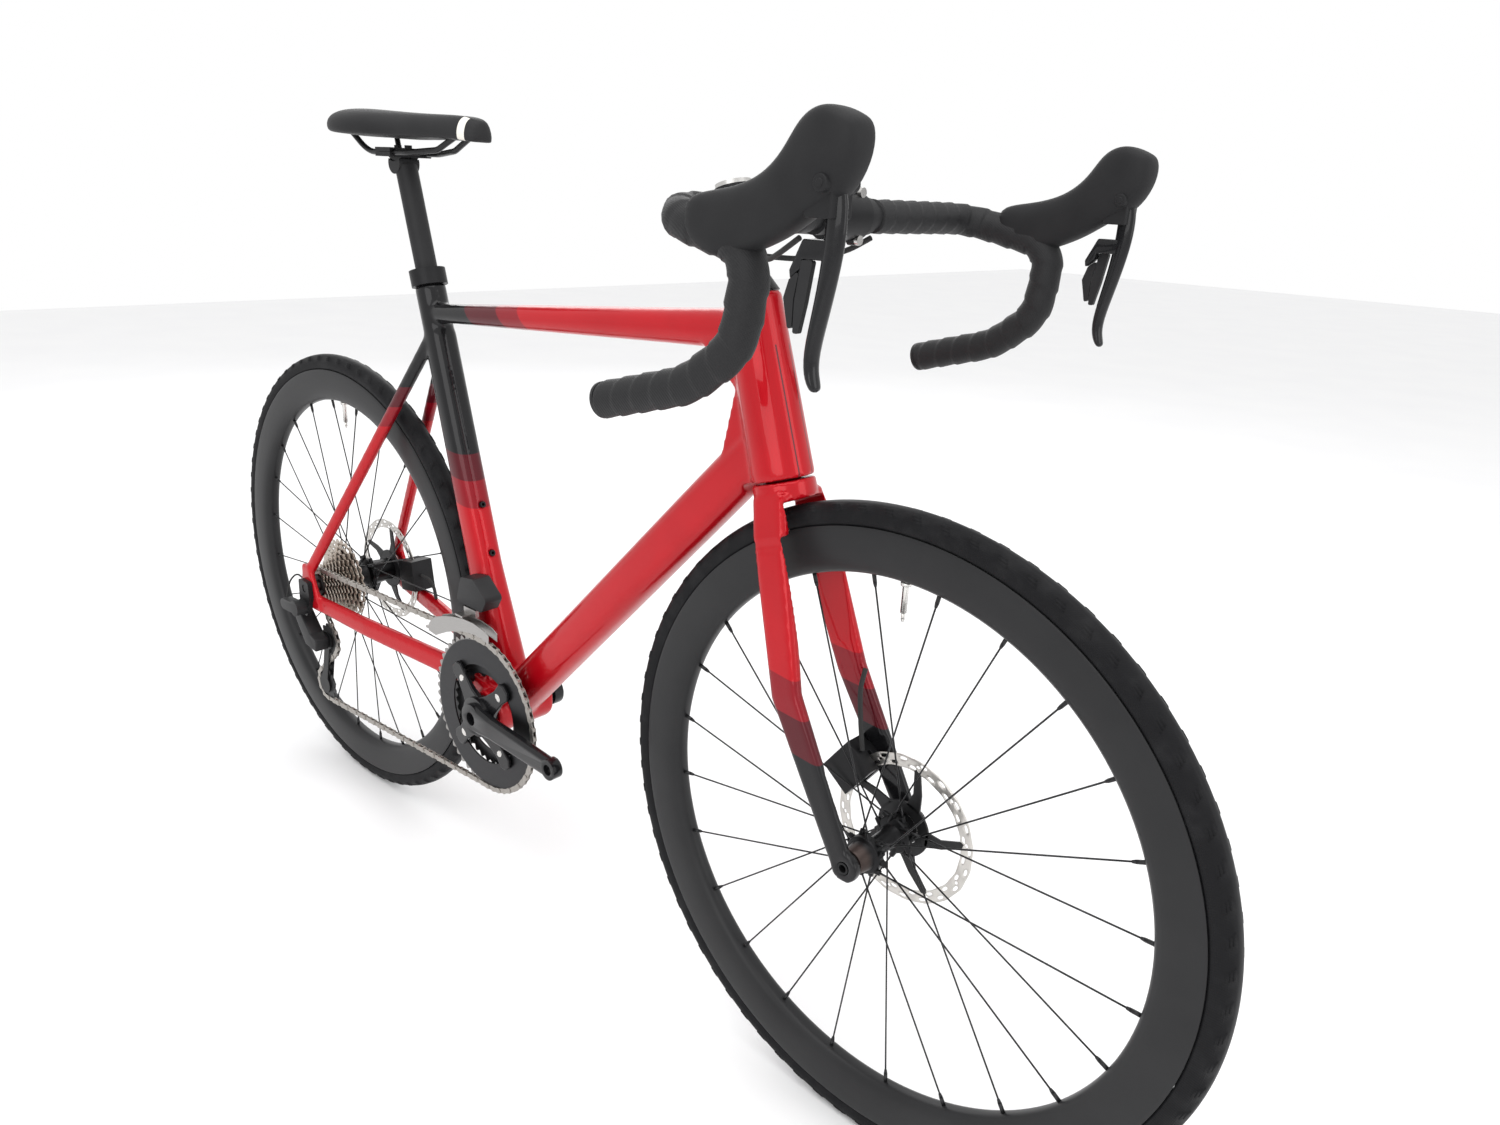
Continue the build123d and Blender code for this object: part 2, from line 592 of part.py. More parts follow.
def wrap(centre, radius, first, last, y, turn):
    """The chain's band round a wheel, from one direction to another, the way that turn gives."""
    start = atan2(first[1], first[0])
    sweep_angle = (atan2(last[1], last[0]) - start) % (2 * pi)
    if turn < 0:
        sweep_angle -= 2 * pi
    edges = []
    corners = []
    for reach in (radius - CHAIN_HALF_HEIGHT, radius + CHAIN_HALF_HEIGHT):
        points = []
        for share in (0, 0.5, 1):
            angle = start + share * sweep_angle
            points.append((centre[0] + reach * cos(angle), y - CHAIN_WIDTH / 2, centre[1] + reach * sin(angle)))
        edges.append(ThreePointArc(*points))
        corners.append(points)
    edges.append(Line(corners[0][0], corners[1][0]))
    edges.append(Line(corners[0][2], corners[1][2]))
    return Solid.extrude(make_face(edges).face(), Vector(0, CHAIN_WIDTH, 0))


def straight(start, end, y_start, y_end):
    """A straight stretch of the chain's band between two points of the pitch line."""
    length = hypot(end[0] - start[0], end[1] - start[1])
    side = (-(end[1] - start[1]) / length, (end[0] - start[0]) / length)
    half, height = CHAIN_WIDTH / 2, CHAIN_HALF_HEIGHT
    corners = []
    for across, up in ((-half, -height), (half, -height), (half, height), (-half, height)):
        corners.append((start[0] + up * side[0], y_start + across, start[1] + up * side[1]))
    face = make_face(Polyline(*corners, close=True)).face()
    return Solid.extrude(face, Vector(end[0] - start[0], y_end - y_start, end[1] - start[1]))


def between(start, end, share):
    return (start[0] + (end[0] - start[0]) * share, start[1] + (end[1] - start[1]) * share)


def slanted(start, end, y_start, y_end):
    """A stretch that stays in each wheel's plane near its ends and crosses over between them."""
    share = FLAT_RUN / hypot(end[0] - start[0], end[1] - start[1])
    first, last = between(start, end, share), between(start, end, 1 - share)
    pieces = [straight(start, first, y_start, y_start), straight(first, last, y_start, y_end)]
    return pieces + [straight(last, end, y_end, y_end)]


def shortened(start, end, cut):
    """The end point of a stretch, moved back towards its start."""
    return between(start, end, 1 - cut / hypot(end[0] - start[0], end[1] - start[1]))


def negative(direction):
    return (-direction[0], -direction[1])


def chain():
    cog_low = rim_point(REAR, COG_R, COG_NORMAL)
    guide_top = rim_point(GUIDE, PULLEY_R, negative(COG_NORMAL))
    cog_top, ring_top = rim_point(REAR, COG_R, TOP_NORMAL), rim_point(FRONT, RING_R, TOP_NORMAL)
    tension_low, ring_low = rim_point(TENSION, PULLEY_R, LOW_NORMAL), rim_point(FRONT, RING_R, LOW_NORMAL)
    pieces = [wrap(REAR, COG_R, TOP_NORMAL, COG_NORMAL, CHAIN_REAR_Y, 1)]
    pieces += [wrap(FRONT, RING_R, LOW_NORMAL, TOP_NORMAL, -CHAIN_LINE, 1)]
    pieces += [straight(cog_low, shortened(cog_low, guide_top, CHAIN_CUT), CHAIN_REAR_Y, CHAIN_REAR_Y)]
    pieces += slanted(cog_top, ring_top, CHAIN_REAR_Y, -CHAIN_LINE)
    low_end = shortened(ring_low, tension_low, CHAIN_CUT)
    pieces += slanted(low_end, ring_low, CHAIN_REAR_Y, -CHAIN_LINE)
    body = pieces[0]
    for piece in pieces[1:]:
        body += piece
    return body


def chain_cage_run():
    guide_low = rim_point(GUIDE, PULLEY_R, CAGE_NORMAL)
    tension_back = rim_point(TENSION, PULLEY_R, negative(CAGE_NORMAL))
    body = wrap(GUIDE, PULLEY_R, CAGE_NORMAL, negative(COG_NORMAL), CHAIN_REAR_Y, 1)
    body += straight(guide_low, tension_back, CHAIN_REAR_Y, CHAIN_REAR_Y)
    return body + wrap(TENSION, PULLEY_R, negative(CAGE_NORMAL), LOW_NORMAL, CHAIN_REAR_Y, 1)


# ---- drivetrain: cassette, pulleys and chainrings ----
FREEHUB_R = 17.0


def cassette():
    inner_y = COG_Y[-1] + DISC_THICKNESS / 2 + 0.5
    body = disc(REAR_X, AXLE_Z, COG_Y[0] - 3, inner_y, FREEHUB_R - 1.5)
    for number, teeth in enumerate(COGS):
        reach = pitch_radius(teeth) + TOOTH
        if number <= CHAIN_COG:
            reach = pitch_radius(COGS[number]) - UNDER_CHAIN
        y = COG_Y[number]
        body += disc(REAR_X, AXLE_Z, y - DISC_THICKNESS / 2, y + DISC_THICKNESS / 2, reach)
    return body - disc(REAR_X, AXLE_Z, -100, 0, HUB_AXLE_R + GAP)


def pulley(centre):
    teeth = disc(*centre, CHAIN_REAR_Y - 1, CHAIN_REAR_Y + 1, PULLEY_R - UNDER_CHAIN - SHIFT_RISE)
    barrel = disc(*centre, CHAIN_REAR_Y - 2.6, CHAIN_REAR_Y + 2.6, 8)
    return teeth + barrel - disc(*centre, CHAIN_REAR_Y - 5, CHAIN_REAR_Y + 5, PULLEY_BOLT_R + FIT)


PULLEY_BOLT_R = 2.5
CAGE_GAP = 3.6
CAGE_PLATE = 1.5


def derailleur_cage():
    """Two plates outside and inside the pulleys, joined by the pulleys' bolts."""
    body = Part()
    for side in (-1, 1):
        low, high = sorted((CHAIN_REAR_Y + side * CAGE_GAP, CHAIN_REAR_Y + side * (CAGE_GAP + CAGE_PLATE)))
        body += disc(*GUIDE, low, high, 14) + disc(*TENSION, low, high, 15)
        body += rod_plate(GUIDE, TENSION, 14, low, high)
    for centre in (GUIDE, TENSION):
        edge = CAGE_GAP + CAGE_PLATE
        body += disc(*centre, CHAIN_REAR_Y - edge, CHAIN_REAR_Y + edge, PULLEY_BOLT_R)
    return body


def rod_plate(start, end, width, y_low, y_high):
    """A straight plate of one width between two (x, z) points."""
    length = hypot(end[0] - start[0], end[1] - start[1])
    side = (-(end[1] - start[1]) / length * width / 2, (end[0] - start[0]) / length * width / 2)
    outline = [(start[0] + side[0], start[1] + side[1]), (end[0] + side[0], end[1] + side[1]),
               (end[0] - side[0], end[1] - side[1]), (start[0] - side[0], start[1] - side[1])]
    return slab(outline, y_low, y_high)


KNUCKLE_OUT = 16.0
CAGE_FACE = CHAIN_REAR_Y - CAGE_GAP - CAGE_PLATE
MOTOR_WIDTH = 22.0


def derailleur_knuckle():
    """The fixed half of the rear derailleur, bolted to the hanger."""
    inner = -DROPOUT_OUTER - HANGER_THICKNESS
    body = disc(HANGER_X, HANGER_Z, inner - KNUCKLE_OUT, inner, 12)
    body += rod_plate((HANGER_X, HANGER_Z), (HANGER_X - 34, HANGER_Z - 2), 17, inner - KNUCKLE_OUT, inner - 2)
    body += disc(HANGER_X - 34, HANGER_Z - 2, inner - KNUCKLE_OUT, inner - 2, 8.5)
    return body + disc(HANGER_X, HANGER_Z, inner, inner + HANGER_THICKNESS, HANGER_BOLT_R)


def derailleur_motor():
    """The moving half of the rear derailleur: links, motor housing and cage pivot."""
    outer = CAGE_FACE - MOTOR_WIDTH
    top = HANGER_Z - 2 - 8.5 - GAP - SHIFT_RISE
    outline = [(HANGER_X - 46, top), (HANGER_X - 20, top), (GUIDE[0] - 8, GUIDE[1] + 14),
               (GUIDE[0] + 10, GUIDE[1] + 8), (GUIDE[0] + 6, GUIDE[1] - 12), (GUIDE[0] - 26, GUIDE[1] - 8)]
    return slab(outline, outer, CAGE_FACE - GAP, 4)


RING_BOLT_RADIUS = 55.0
SPIDER_THICKNESS = 4.0
ARM_BB_Y = 61.0
ARM_TIP_Y = 69.5
ARM_TIP_THICKNESS = 13.0
SPINDLE_END = 64.0


def chainring(radius, y, bore):
    body = disc(BB_X, BB_Z, y - DISC_THICKNESS / 2, y + DISC_THICKNESS / 2, radius, bore)
    for number in range(4):
        angle = radians(45 + 90 * number)
        x, z = BB_X + RING_BOLT_RADIUS * cos(angle), BB_Z + RING_BOLT_RADIUS * sin(angle)
        body += disc(x, z, y - DISC_THICKNESS / 2, y + DISC_THICKNESS / 2, 9)
        body -= disc(x, z, y - 3, y + 3, 4 + FIT)
    return body


def chainring_bolts():
    bolts = []
    inner_y = -CHAIN_LINE + RING_STEP + DISC_THICKNESS / 2 + 1
    outer_y = -CHAIN_LINE - DISC_THICKNESS / 2 - SPIDER_THICKNESS - 1
    for number in range(4):
        angle = radians(45 + 90 * number)
        x, z = BB_X + RING_BOLT_RADIUS * cos(angle), BB_Z + RING_BOLT_RADIUS * sin(angle)
        spacer_low, spacer_high = -CHAIN_LINE + DISC_THICKNESS / 2, -CHAIN_LINE + RING_STEP - DISC_THICKNESS / 2
        bolt = disc(x, z, outer_y, inner_y, 4) + disc(x, z, spacer_low, spacer_high, 6)
        bolts.append(bolt + disc(x, z, outer_y, outer_y + 1, 6) + disc(x, z, inner_y - 1, inner_y, 6))
    return bolts


def crank_arm(side, forward):
    """One crank arm, from the bottom bracket to its pedal hole."""
    hole_x = BB_X + forward * CRANK_LENGTH
    run = Vector(forward, 0, 0)
    body = limb([((BB_X, side * ARM_BB_Y, BB_Z), run, 14, 40),
                 ((BB_X + forward * 40, side * (ARM_BB_Y + 2), BB_Z), run, 14, 30),
                 ((hole_x, side * ARM_TIP_Y, BB_Z), run, ARM_TIP_THICKNESS, 26)])
    low, high = sorted((side * (ARM_TIP_Y - ARM_TIP_THICKNESS / 2), side * (ARM_TIP_Y + ARM_TIP_THICKNESS / 2)))
    body += disc(hole_x, BB_Z, low, high, 13)
    body += disc(BB_X, BB_Z, min(side * (ARM_BB_Y - 7), side * (ARM_BB_Y + 7)),
                 max(side * (ARM_BB_Y - 7), side * (ARM_BB_Y + 7)), 20)
    return body - disc(hole_x, BB_Z, low - 1, high + 1, PEDAL_HOLE_R)


def crank_right():
    face = -CHAIN_LINE - DISC_THICKNESS / 2
    body = crank_arm(-1, 1) + disc(BB_X, BB_Z, -ARM_BB_Y, face, 27)
    for number in range(4):
        arm = Pos(BB_X, face - SPIDER_THICKNESS / 2, BB_Z) * Rot(0, 45 + 90 * number, 0)
        body += arm * Pos(RING_BOLT_RADIUS / 2, 0, 0) * Box(RING_BOLT_RADIUS + 14, SPIDER_THICKNESS, 16)
    for number in range(4):
        angle = radians(45 + 90 * number)
        x, z = BB_X + RING_BOLT_RADIUS * cos(angle), BB_Z + RING_BOLT_RADIUS * sin(angle)
        body -= disc(x, z, face - SPIDER_THICKNESS - 1, face + 1, 4 + FIT)
        body -= disc(x, z, face - SPIDER_THICKNESS - 2, face - SPIDER_THICKNESS, 6 + FIT)
    body += disc(BB_X, BB_Z, -ARM_BB_Y, SPINDLE_END, SPINDLE_R)
    return body - disc(BB_X, BB_Z, -ARM_BB_Y - 20, SPINDLE_END + 1, SPINDLE_R - 3)


def crank_left():
    return crank_arm(1, -1) - disc(BB_X, BB_Z, 0, 100, SPINDLE_R + FIT)


# ---- front derailleur ----
FD_TRIM = 1.2
FD_PLATE = 1.2
FD_INNER_Y = -CHAIN_LINE + CHAIN_WIDTH / 2 + FD_TRIM + GAP
FD_FLARE = 3.2                # room for the chain's slant at the cage's tail
FD_OUTER_Y = -CHAIN_LINE - CHAIN_WIDTH / 2 - FD_TRIM - GAP - FD_FLARE


def front_derailleur():
    outline = [(BB_X - 62, BB_Z + 140), (BB_X - 50, BB_Z + 176), (BB_X - 22, BB_Z + 180),
               (BB_X + 6, BB_Z + 158), (BB_X - 6, BB_Z + 139)]
    body = slab(outline, -42, -SEAT_TUBE_R + 2, 6)
    return body - seat_tube()


def front_derailleur_cage():
    outline = [(BB_X + 24, BB_Z + 112), (BB_X + 20, BB_Z + 128), (BB_X - 30, BB_Z + 134),
               (BB_X - 108, BB_Z + 118), (BB_X - 118, BB_Z + 84), (BB_X - 98, BB_Z + 82), (BB_X - 60, BB_Z + 100)]
    body = slab(outline, FD_INNER_Y, FD_INNER_Y + FD_PLATE, 3)
    body += slab(outline, FD_OUTER_Y - FD_PLATE, FD_OUTER_Y, 3)
    bridge = [(BB_X - 28, BB_Z + 126), (BB_X - 28, BB_Z + 133), (BB_X - 46, BB_Z + 131), (BB_X - 46, BB_Z + 124)]
    body += slab(bridge, FD_OUTER_Y, FD_INNER_Y)
    top = BB_Z + 139 - GAP
    link = [(BB_X - 44, BB_Z + 128), (BB_X - 44, top), (BB_X - 18, top), (BB_X - 18, BB_Z + 128)]
    return body + slab(link, FD_INNER_Y, FD_INNER_Y + 6)


# ---- cockpit ----
BAR_CENTRE = steer(STEM_BASE + STEM_CLAMP_HEIGHT / 2) + Vector(STEM_LENGTH, 0, 0)
BAR_WALL = 2.0
STEM_WALL = 4.5
STEM_HALF_LENGTH = 21.0
FACEPLATE_GAP = 1.0
HOOD_Y = BAR_HALF_WIDTH + 1
HOOD_WIDTH = 34.0
HOOD_WALL = 2.5
LEVER_WIDTH = 11.0
LEVER_PIN_R = 2.5
TAPE_START = 44.0


def from_bar(points):
    return [(BAR_CENTRE.X + x, BAR_CENTRE.Z + z) for x, z in points]


def bar_path(side):
    """Tops, shoulder, ramp, bend and drop of one half of the bar."""
    width = BAR_HALF_WIDTH
    corners = [(0, 0, 0), (0, width - 3, 0), (93, width, -20), (84, width + 2, -86), (39, width + 5, -119),
               (-48, width + 9, -143)]
    points = [BAR_CENTRE + Vector(x, side * y, z) for x, y, z in corners]
    return FilletPolyline(*points, radius=[34, 27, 45, 90])


def bar_tube(side, radius):
    path = bar_path(side)
    return sweep(Plane(origin=path @ 0, z_dir=path % 0) * Circle(radius), path=path)


def handlebar():
    body = bar_tube(-1, BAR_R) + bar_tube(1, BAR_R)
    body += disc(BAR_CENTRE.X, BAR_CENTRE.Z, -36, 36, BAR_CLAMP_R)
    return body - bar_tube(-1, BAR_R - BAR_WALL) - bar_tube(1, BAR_R - BAR_WALL)


HOOD_OUTLINE = [(36, 14), (77, 19), (103, 27), (122, 43), (133, 60), (151, 65), (176, 60), (180, 48),
                (170, 15), (131, 6), (126, -8), (101, -16), (80, -26), (56, -28), (34, -10)]
LEVER_PIVOT = (160, 24)


def hood_block(grow, wider=0.0):
    """The hood's side outline as a block, grown or shrunk all round and widened to each side."""
    outline = make_face(Polyline(*[(x, z) for x, z in from_bar(HOOD_OUTLINE)], close=True))
    if grow:
        outline = offset(outline, amount=grow, kind=Kind.INTERSECTION)
    half = HOOD_WIDTH / 2 + grow + wider
    block = Plane.XZ * extrude(outline, amount=half, both=True)
    return block


def hood_slot():
    """The space for the brake lever between the bracket's cheeks."""
    x, z = from_bar([LEVER_PIVOT])[0]
    return Pos(x + 4, 0, z - 4) * Box(36, LEVER_WIDTH + 2, 32)


def lever_bracket(side):
    x, z = from_bar([LEVER_PIVOT])[0]
    block = hood_block(-HOOD_WALL) - hood_slot()
    block += disc(x, z, -LEVER_WIDTH / 2 - 3, LEVER_WIDTH / 2 + 3, LEVER_PIN_R)
    return Pos(0, side * HOOD_Y, 0) * block - bar_tube(side, BAR_R + FIT)


def lever_hood(side):
    block = hood_block(0) - hood_block(-HOOD_WALL + FIT) - hood_slot()
    return Pos(0, side * HOOD_Y, 0) * block - bar_tube(side, BAR_R + 1)


def bar_tape(side):
    tape = bar_tube(side, TAPE_R) - bar_tube(side, BAR_R + FIT)
    tape -= Pos(BAR_CENTRE.X, 0, BAR_CENTRE.Z) * Box(60, 2 * TAPE_START, 60)
    return tape - Pos(0, side * HOOD_Y, 0) * hood_block(GAP, TAPE_R)


def bar_plug(side):
    path = bar_path(side)
    end, run = path @ 1, path % 1
    plug = rod(end + run * 0.1, end + run * 3, TAPE_R - 1)
    return plug + rod(end - run * 12, end + run * 1, BAR_R - BAR_WALL - FIT)


LEVER_OUTLINE = [(154, 28), (158, 31), (163, 30), (168, 18), (171, 4), (169, -16), (161, -50), (152, -84), (154, -98), (158, -106),
                 (150, -110), (144, -100), (142, -84), (150, -50), (154, -22), (153, 6)]


def brake_lever(side):
    x, z = from_bar([LEVER_PIVOT])[0]
    blade = slab(from_bar(LEVER_OUTLINE), -LEVER_WIDTH / 2, LEVER_WIDTH / 2)
    lug = slab(from_bar(PADDLE_LUG), -LEVER_WIDTH / 2, LEVER_WIDTH / 2)
    blade += lug
    blade -= disc(x, z, -20, 20, LEVER_PIN_R + FIT)
    return Pos(0, side * HOOD_Y, 0) * blade


PADDLE_THICKNESS = 4.0
PADDLE_LUG = [(139, -12), (155, -12), (155, -22.7), (139.3, -22.7), (138.4, -28.6), (130, -35.7), (129, -30)]
FRONT_PADDLE = [(139.6, -23), (149, -23), (144.5, -50), (140, -70), (135.5, -70), (135.5, -50)]
REAR_PADDLE = [(130, -36), (138.5, -29), (134.6, -48), (134.5, -66), (131, -68), (126, -48)]


def shift_paddle(side, outline):
    outer = HOOD_Y + LEVER_WIDTH / 2
    low, high = sorted((side * (outer - PADDLE_THICKNESS), side * outer))
    return slab(from_bar(outline), low, high, 1.5)


def stem():
    middle = STEM_BASE + STEM_CLAMP_HEIGHT / 2
    centre = steer(middle)
    clamp = rod(steer(STEM_BASE), steer(STEM_BASE + STEM_CLAMP_HEIGHT), STEERER_R + STEM_WALL)
    arm = limb([(centre + Vector(6, 0, -1), Vector(1, 0, 0), 34, 34),
                (BAR_CENTRE - Vector(12, 0, 0), Vector(1, 0, 0), 34, 34)])
    eye = disc(BAR_CENTRE.X, BAR_CENTRE.Z, -STEM_HALF_LENGTH, STEM_HALF_LENGTH, BAR_CLAMP_R + STEM_WALL)
    body = clamp + arm + eye
    body -= rod(steer(STEM_BASE - 5), steer(STEM_BASE + STEM_CLAMP_HEIGHT + 5), STEERER_R + FIT)
    body -= disc(BAR_CENTRE.X, BAR_CENTRE.Z, -40, 40, BAR_CLAMP_R + FIT)
    body -= Pos(BAR_CENTRE.X + 40, 0, BAR_CENTRE.Z) * Box(80, 80, 80)
    body -= rod(steer(STEM_BASE - 20), steer(STEM_BASE), SPACER_R + 10)
    for y, z in FACEPLATE_BOLTS:
        body -= rod((BAR_CENTRE.X - 14, y, z), (BAR_CENTRE.X + 1, y, z), BOLT_R + FIT)
    return body


BOLT_Z = BAR_CLAMP_R + BOLT_R + 1.2
FACEPLATE_BOLTS = [(y, BAR_CENTRE.Z + z) for y in (-14, 14) for z in (-BOLT_Z, BOLT_Z)]


def stem_faceplate():
    body = disc(BAR_CENTRE.X, BAR_CENTRE.Z, -STEM_HALF_LENGTH, STEM_HALF_LENGTH, BAR_CLAMP_R + STEM_WALL)
    for y, z in FACEPLATE_BOLTS:
        body += rod((BAR_CENTRE.X, y, z), (BAR_CENTRE.X + 9, y, z), BOLT_R + 2.2)
    body -= disc(BAR_CENTRE.X, BAR_CENTRE.Z, -40, 40, BAR_CLAMP_R + FIT)
    body -= Pos(BAR_CENTRE.X - 40 + FACEPLATE_GAP, 0, BAR_CENTRE.Z) * Box(80, 80, 80)
    for y, z in FACEPLATE_BOLTS:
        body -= rod((BAR_CENTRE.X - 14, y, z), (BAR_CENTRE.X + 20, y, z), BOLT_R + FIT)
        body -= rod((BAR_CENTRE.X + 9, y, z), (BAR_CENTRE.X + 30, y, z), BOLT_R + 1.8 + FIT)
    return body


def cockpit_bolts():
    bolts = []
    for y, z in FACEPLATE_BOLTS:
        bolt = rod((BAR_CENTRE.X - 13, y, z), (BAR_CENTRE.X + 9, y, z), BOLT_R)
        bolts.append(bolt + rod((BAR_CENTRE.X + 9, y, z), (BAR_CENTRE.X + 13, y, z), BOLT_R + 1.8))
    base = STEM_BASE + STEM_CLAMP_HEIGHT
    cap = rod(steer(base), steer(base + 4), STEERER_R + 3)
    bolts.append(cap + rod(steer(base - 12), steer(base + 1), STEERER_R - 3 - FIT))
    return bolts


def headset_spacers():
    base = HEAD_TOP + BEARING_GAP
    cover = Plane(origin=steer(base), z_dir=STEER_UP) * Cone(
        HEAD_TUBE_TOP_R - 1, SPACER_R + 1, 16, align=(Align.CENTER, Align.CENTER, Align.MIN))
    cover -= rod(steer(base - 1), steer(base + 20), STEERER_R + FIT)
    rings = [cover]
    count = 3
    height = (SPACER_STACK - 16) / count
    for number in range(count):
        low = base + 16 + number * height
        rings.append(ring(steer(low), steer(low + height), SPACER_R, STEERER_R + FIT))
    return rings


# ---- seat ----
RAIL_Z = seat(POST_TOP).Z + 10
RAIL_X = seat(POST_TOP).X
CLAMP_LENGTH = 34.0
SHELL_THICKNESS = 5.0
PAD_THICKNESS_SADDLE = 20.0


def seatpost():
    post = rod(seat(POST_TOP - 12 - (POST_TOP - SEAT_TUBE_LENGTH) - POST_INSERTION), seat(POST_TOP - 6), POST_R)
    head = disc(RAIL_X - 3, RAIL_Z - 12, -14, 14, 13)
    body = post + head
    body -= rod(seat(200), seat(POST_TOP - 30), POST_R - 3)
    return body - disc(RAIL_X - 3, RAIL_Z + 14, -40, 40, CRADLE_R + GAP)


CRADLE_R = 24.0


def saddle_clamp():
    """A cradle that rocks on the post's head, with a top plate over the rails and two bolts."""
    span = 2 * (RAIL_SPREAD + RAIL_R + 3)
    cradle = disc(RAIL_X - 3, RAIL_Z + 14, -12, 12, CRADLE_R)
    cradle -= Pos(RAIL_X, 0, RAIL_Z + 30) * Box(80, 80, 60)
    cradle += Pos(RAIL_X - 3, 0, RAIL_Z - 2.5) * Box(CLAMP_LENGTH, span, 5)
    top = Pos(RAIL_X - 3, 0, RAIL_Z + 3) * Box(CLAMP_LENGTH, span, 5)
    cuts = rail(-1, FIT) + rail(1, FIT)
    bolts = []
    for x in (RAIL_X - 15, RAIL_X + 9):
        hole = rod((x, 0, RAIL_Z - 12), (x, 0, RAIL_Z + 12), BOLT_R + FIT)
        cradle -= hole
        top -= hole
        bolts.append(rod((x, 0, RAIL_Z - 5), (x, 0, RAIL_Z + 5.5), BOLT_R)
                     + rod((x, 0, RAIL_Z + 5.5), (x, 0, RAIL_Z + 9), BOLT_R + 2))
    return [cradle - cuts, top - cuts] + bolts


def rail(side, grow=0.0):
    nose, tail = SADDLE_TAIL_X + SADDLE_LENGTH - 30, SADDLE_TAIL_X + 24
    top = SADDLE_TOP - PAD_THICKNESS_SADDLE - SHELL_THICKNESS
    corners = [(nose, side * 9, top), (nose - 50, side * 12, RAIL_Z + 4), (RAIL_X + 42, side * RAIL_SPREAD, RAIL_Z),
               (RAIL_X - 48, side * RAIL_SPREAD, RAIL_Z), (tail, side * (RAIL_SPREAD + 10), top)]
    path = FilletPolyline(*corners, radius=[28, 50, 34])
    return sweep(Plane(origin=path @ 0, z_dir=path % 0) * Circle(RAIL_R + grow), path=path)


def saddle_outline(grow):
    """Half outline of the saddle from its tail to its nose, seen from above."""
    half = SADDLE_WIDTH / 2 + grow
    length = SADDLE_LENGTH
    tail = SADDLE_TAIL_X
    shape = [(0, half * 0.55), (14, half * 0.95), (34, half), (70, half * 0.86), (110, half * 0.52),
             (150, half * 0.32), (length - 14, half * 0.27), (length - 2, half * 0.16)]
    points = [(tail + x, y) for x, y in shape]
    return points + [(x, -y) for x, y in reversed(points)]


def saddle_plate(low, high, grow):
    outline = make_face(Polyline(*saddle_outline(grow), close=True))
    return Pos(0, 0, low) * extrude(outline, amount=high - low)


def saddle_shell():
    low = SADDLE_TOP - PAD_THICKNESS_SADDLE - SHELL_THICKNESS
    return saddle_plate(low, low + SHELL_THICKNESS, -3) - rail(-1, FIT) - rail(1, FIT)


def saddle_pad():
    body = saddle_plate(SADDLE_TOP - PAD_THICKNESS_SADDLE, SADDLE_TOP, 0)
    return fillet(body.edges().group_by(Axis.Z)[-1], 7)


# ---- hoses and wires, which the bicycle holds all the way ----
HOSE_R = 2.5
WIRE_R = 1.3


def hose(points, radius):
    """A hose on straight runs joined by the largest arcs that its runs allow."""
    points = [Vector(point) for point in points]
    radii = []
    for before, corner, after in zip(points, points[1:], points[2:]):
        turn = radians((corner - before).get_angle(after - corner))
        shorter = min((corner - before).length, (after - corner).length)
        radii.append(0.45 * shorter / tan(turn / 2))
    path = FilletPolyline(*points, radius=radii)
    return sweep(Plane(origin=path @ 0, z_dir=path % 0) * Circle(radius), path=path)


def rear_hoses():
    """The rear brake's hose from stay to caliper, and the rear derailleur's wire."""
    stay_y = STAY_REAR_Y - 15
    brake = hose([(REAR_X + 97.5, stay_y - 5, AXLE_Z + 15.5), (REAR_X + 114, stay_y - 3, AXLE_Z + 14),
                  (REAR_X + 124, stay_y - 1, AXLE_Z + 3), (REAR_X + 126.5, stay_y, BB_Z + 54.6)], HOSE_R)
    wire_y = -DROPOUT_INNER - DROPOUT_THICKNESS / 2
    wire = hose([(REAR_X - 22.6, wire_y, AXLE_Z + 7), (REAR_X - 36, wire_y - 3, AXLE_Z + 13),
                 (REAR_X - 45, wire_y - 11, AXLE_Z + 1), (REAR_X - 40, wire_y - 20, AXLE_Z - 22.8)], WIRE_R)
    return [brake, wire]


def front_hoses():
    """The front brake's hose from leg to caliper, and the loops from the bar to the headset."""
    hoses = [hose([(FRONT_X - 51, 30, AXLE_Z + 70), (FRONT_X - 57, 31, AXLE_Z + 100),
                   (FRONT_X - 63, 34, AXLE_Z + 132), (FRONT_X - 65, 43.6, AXLE_Z + 151)], HOSE_R)]
    cover = steer(HEAD_TOP + 32, SPACER_R + 0.6)
    for side in (-1, 1):
        hoses.append(hose([(BAR_CENTRE.X - 2, side * (TAPE_START + 6), BAR_CENTRE.Z - TAPE_R - 2.8),
                           (BAR_CENTRE.X - 26, side * (TAPE_START + 2), BAR_CENTRE.Z - 32),
                           (BAR_CENTRE.X - 58, side * 24, BAR_CENTRE.Z - 41),
                           (cover.X + 1.5, side * 6, cover.Z)], HOSE_R))
    return hoses


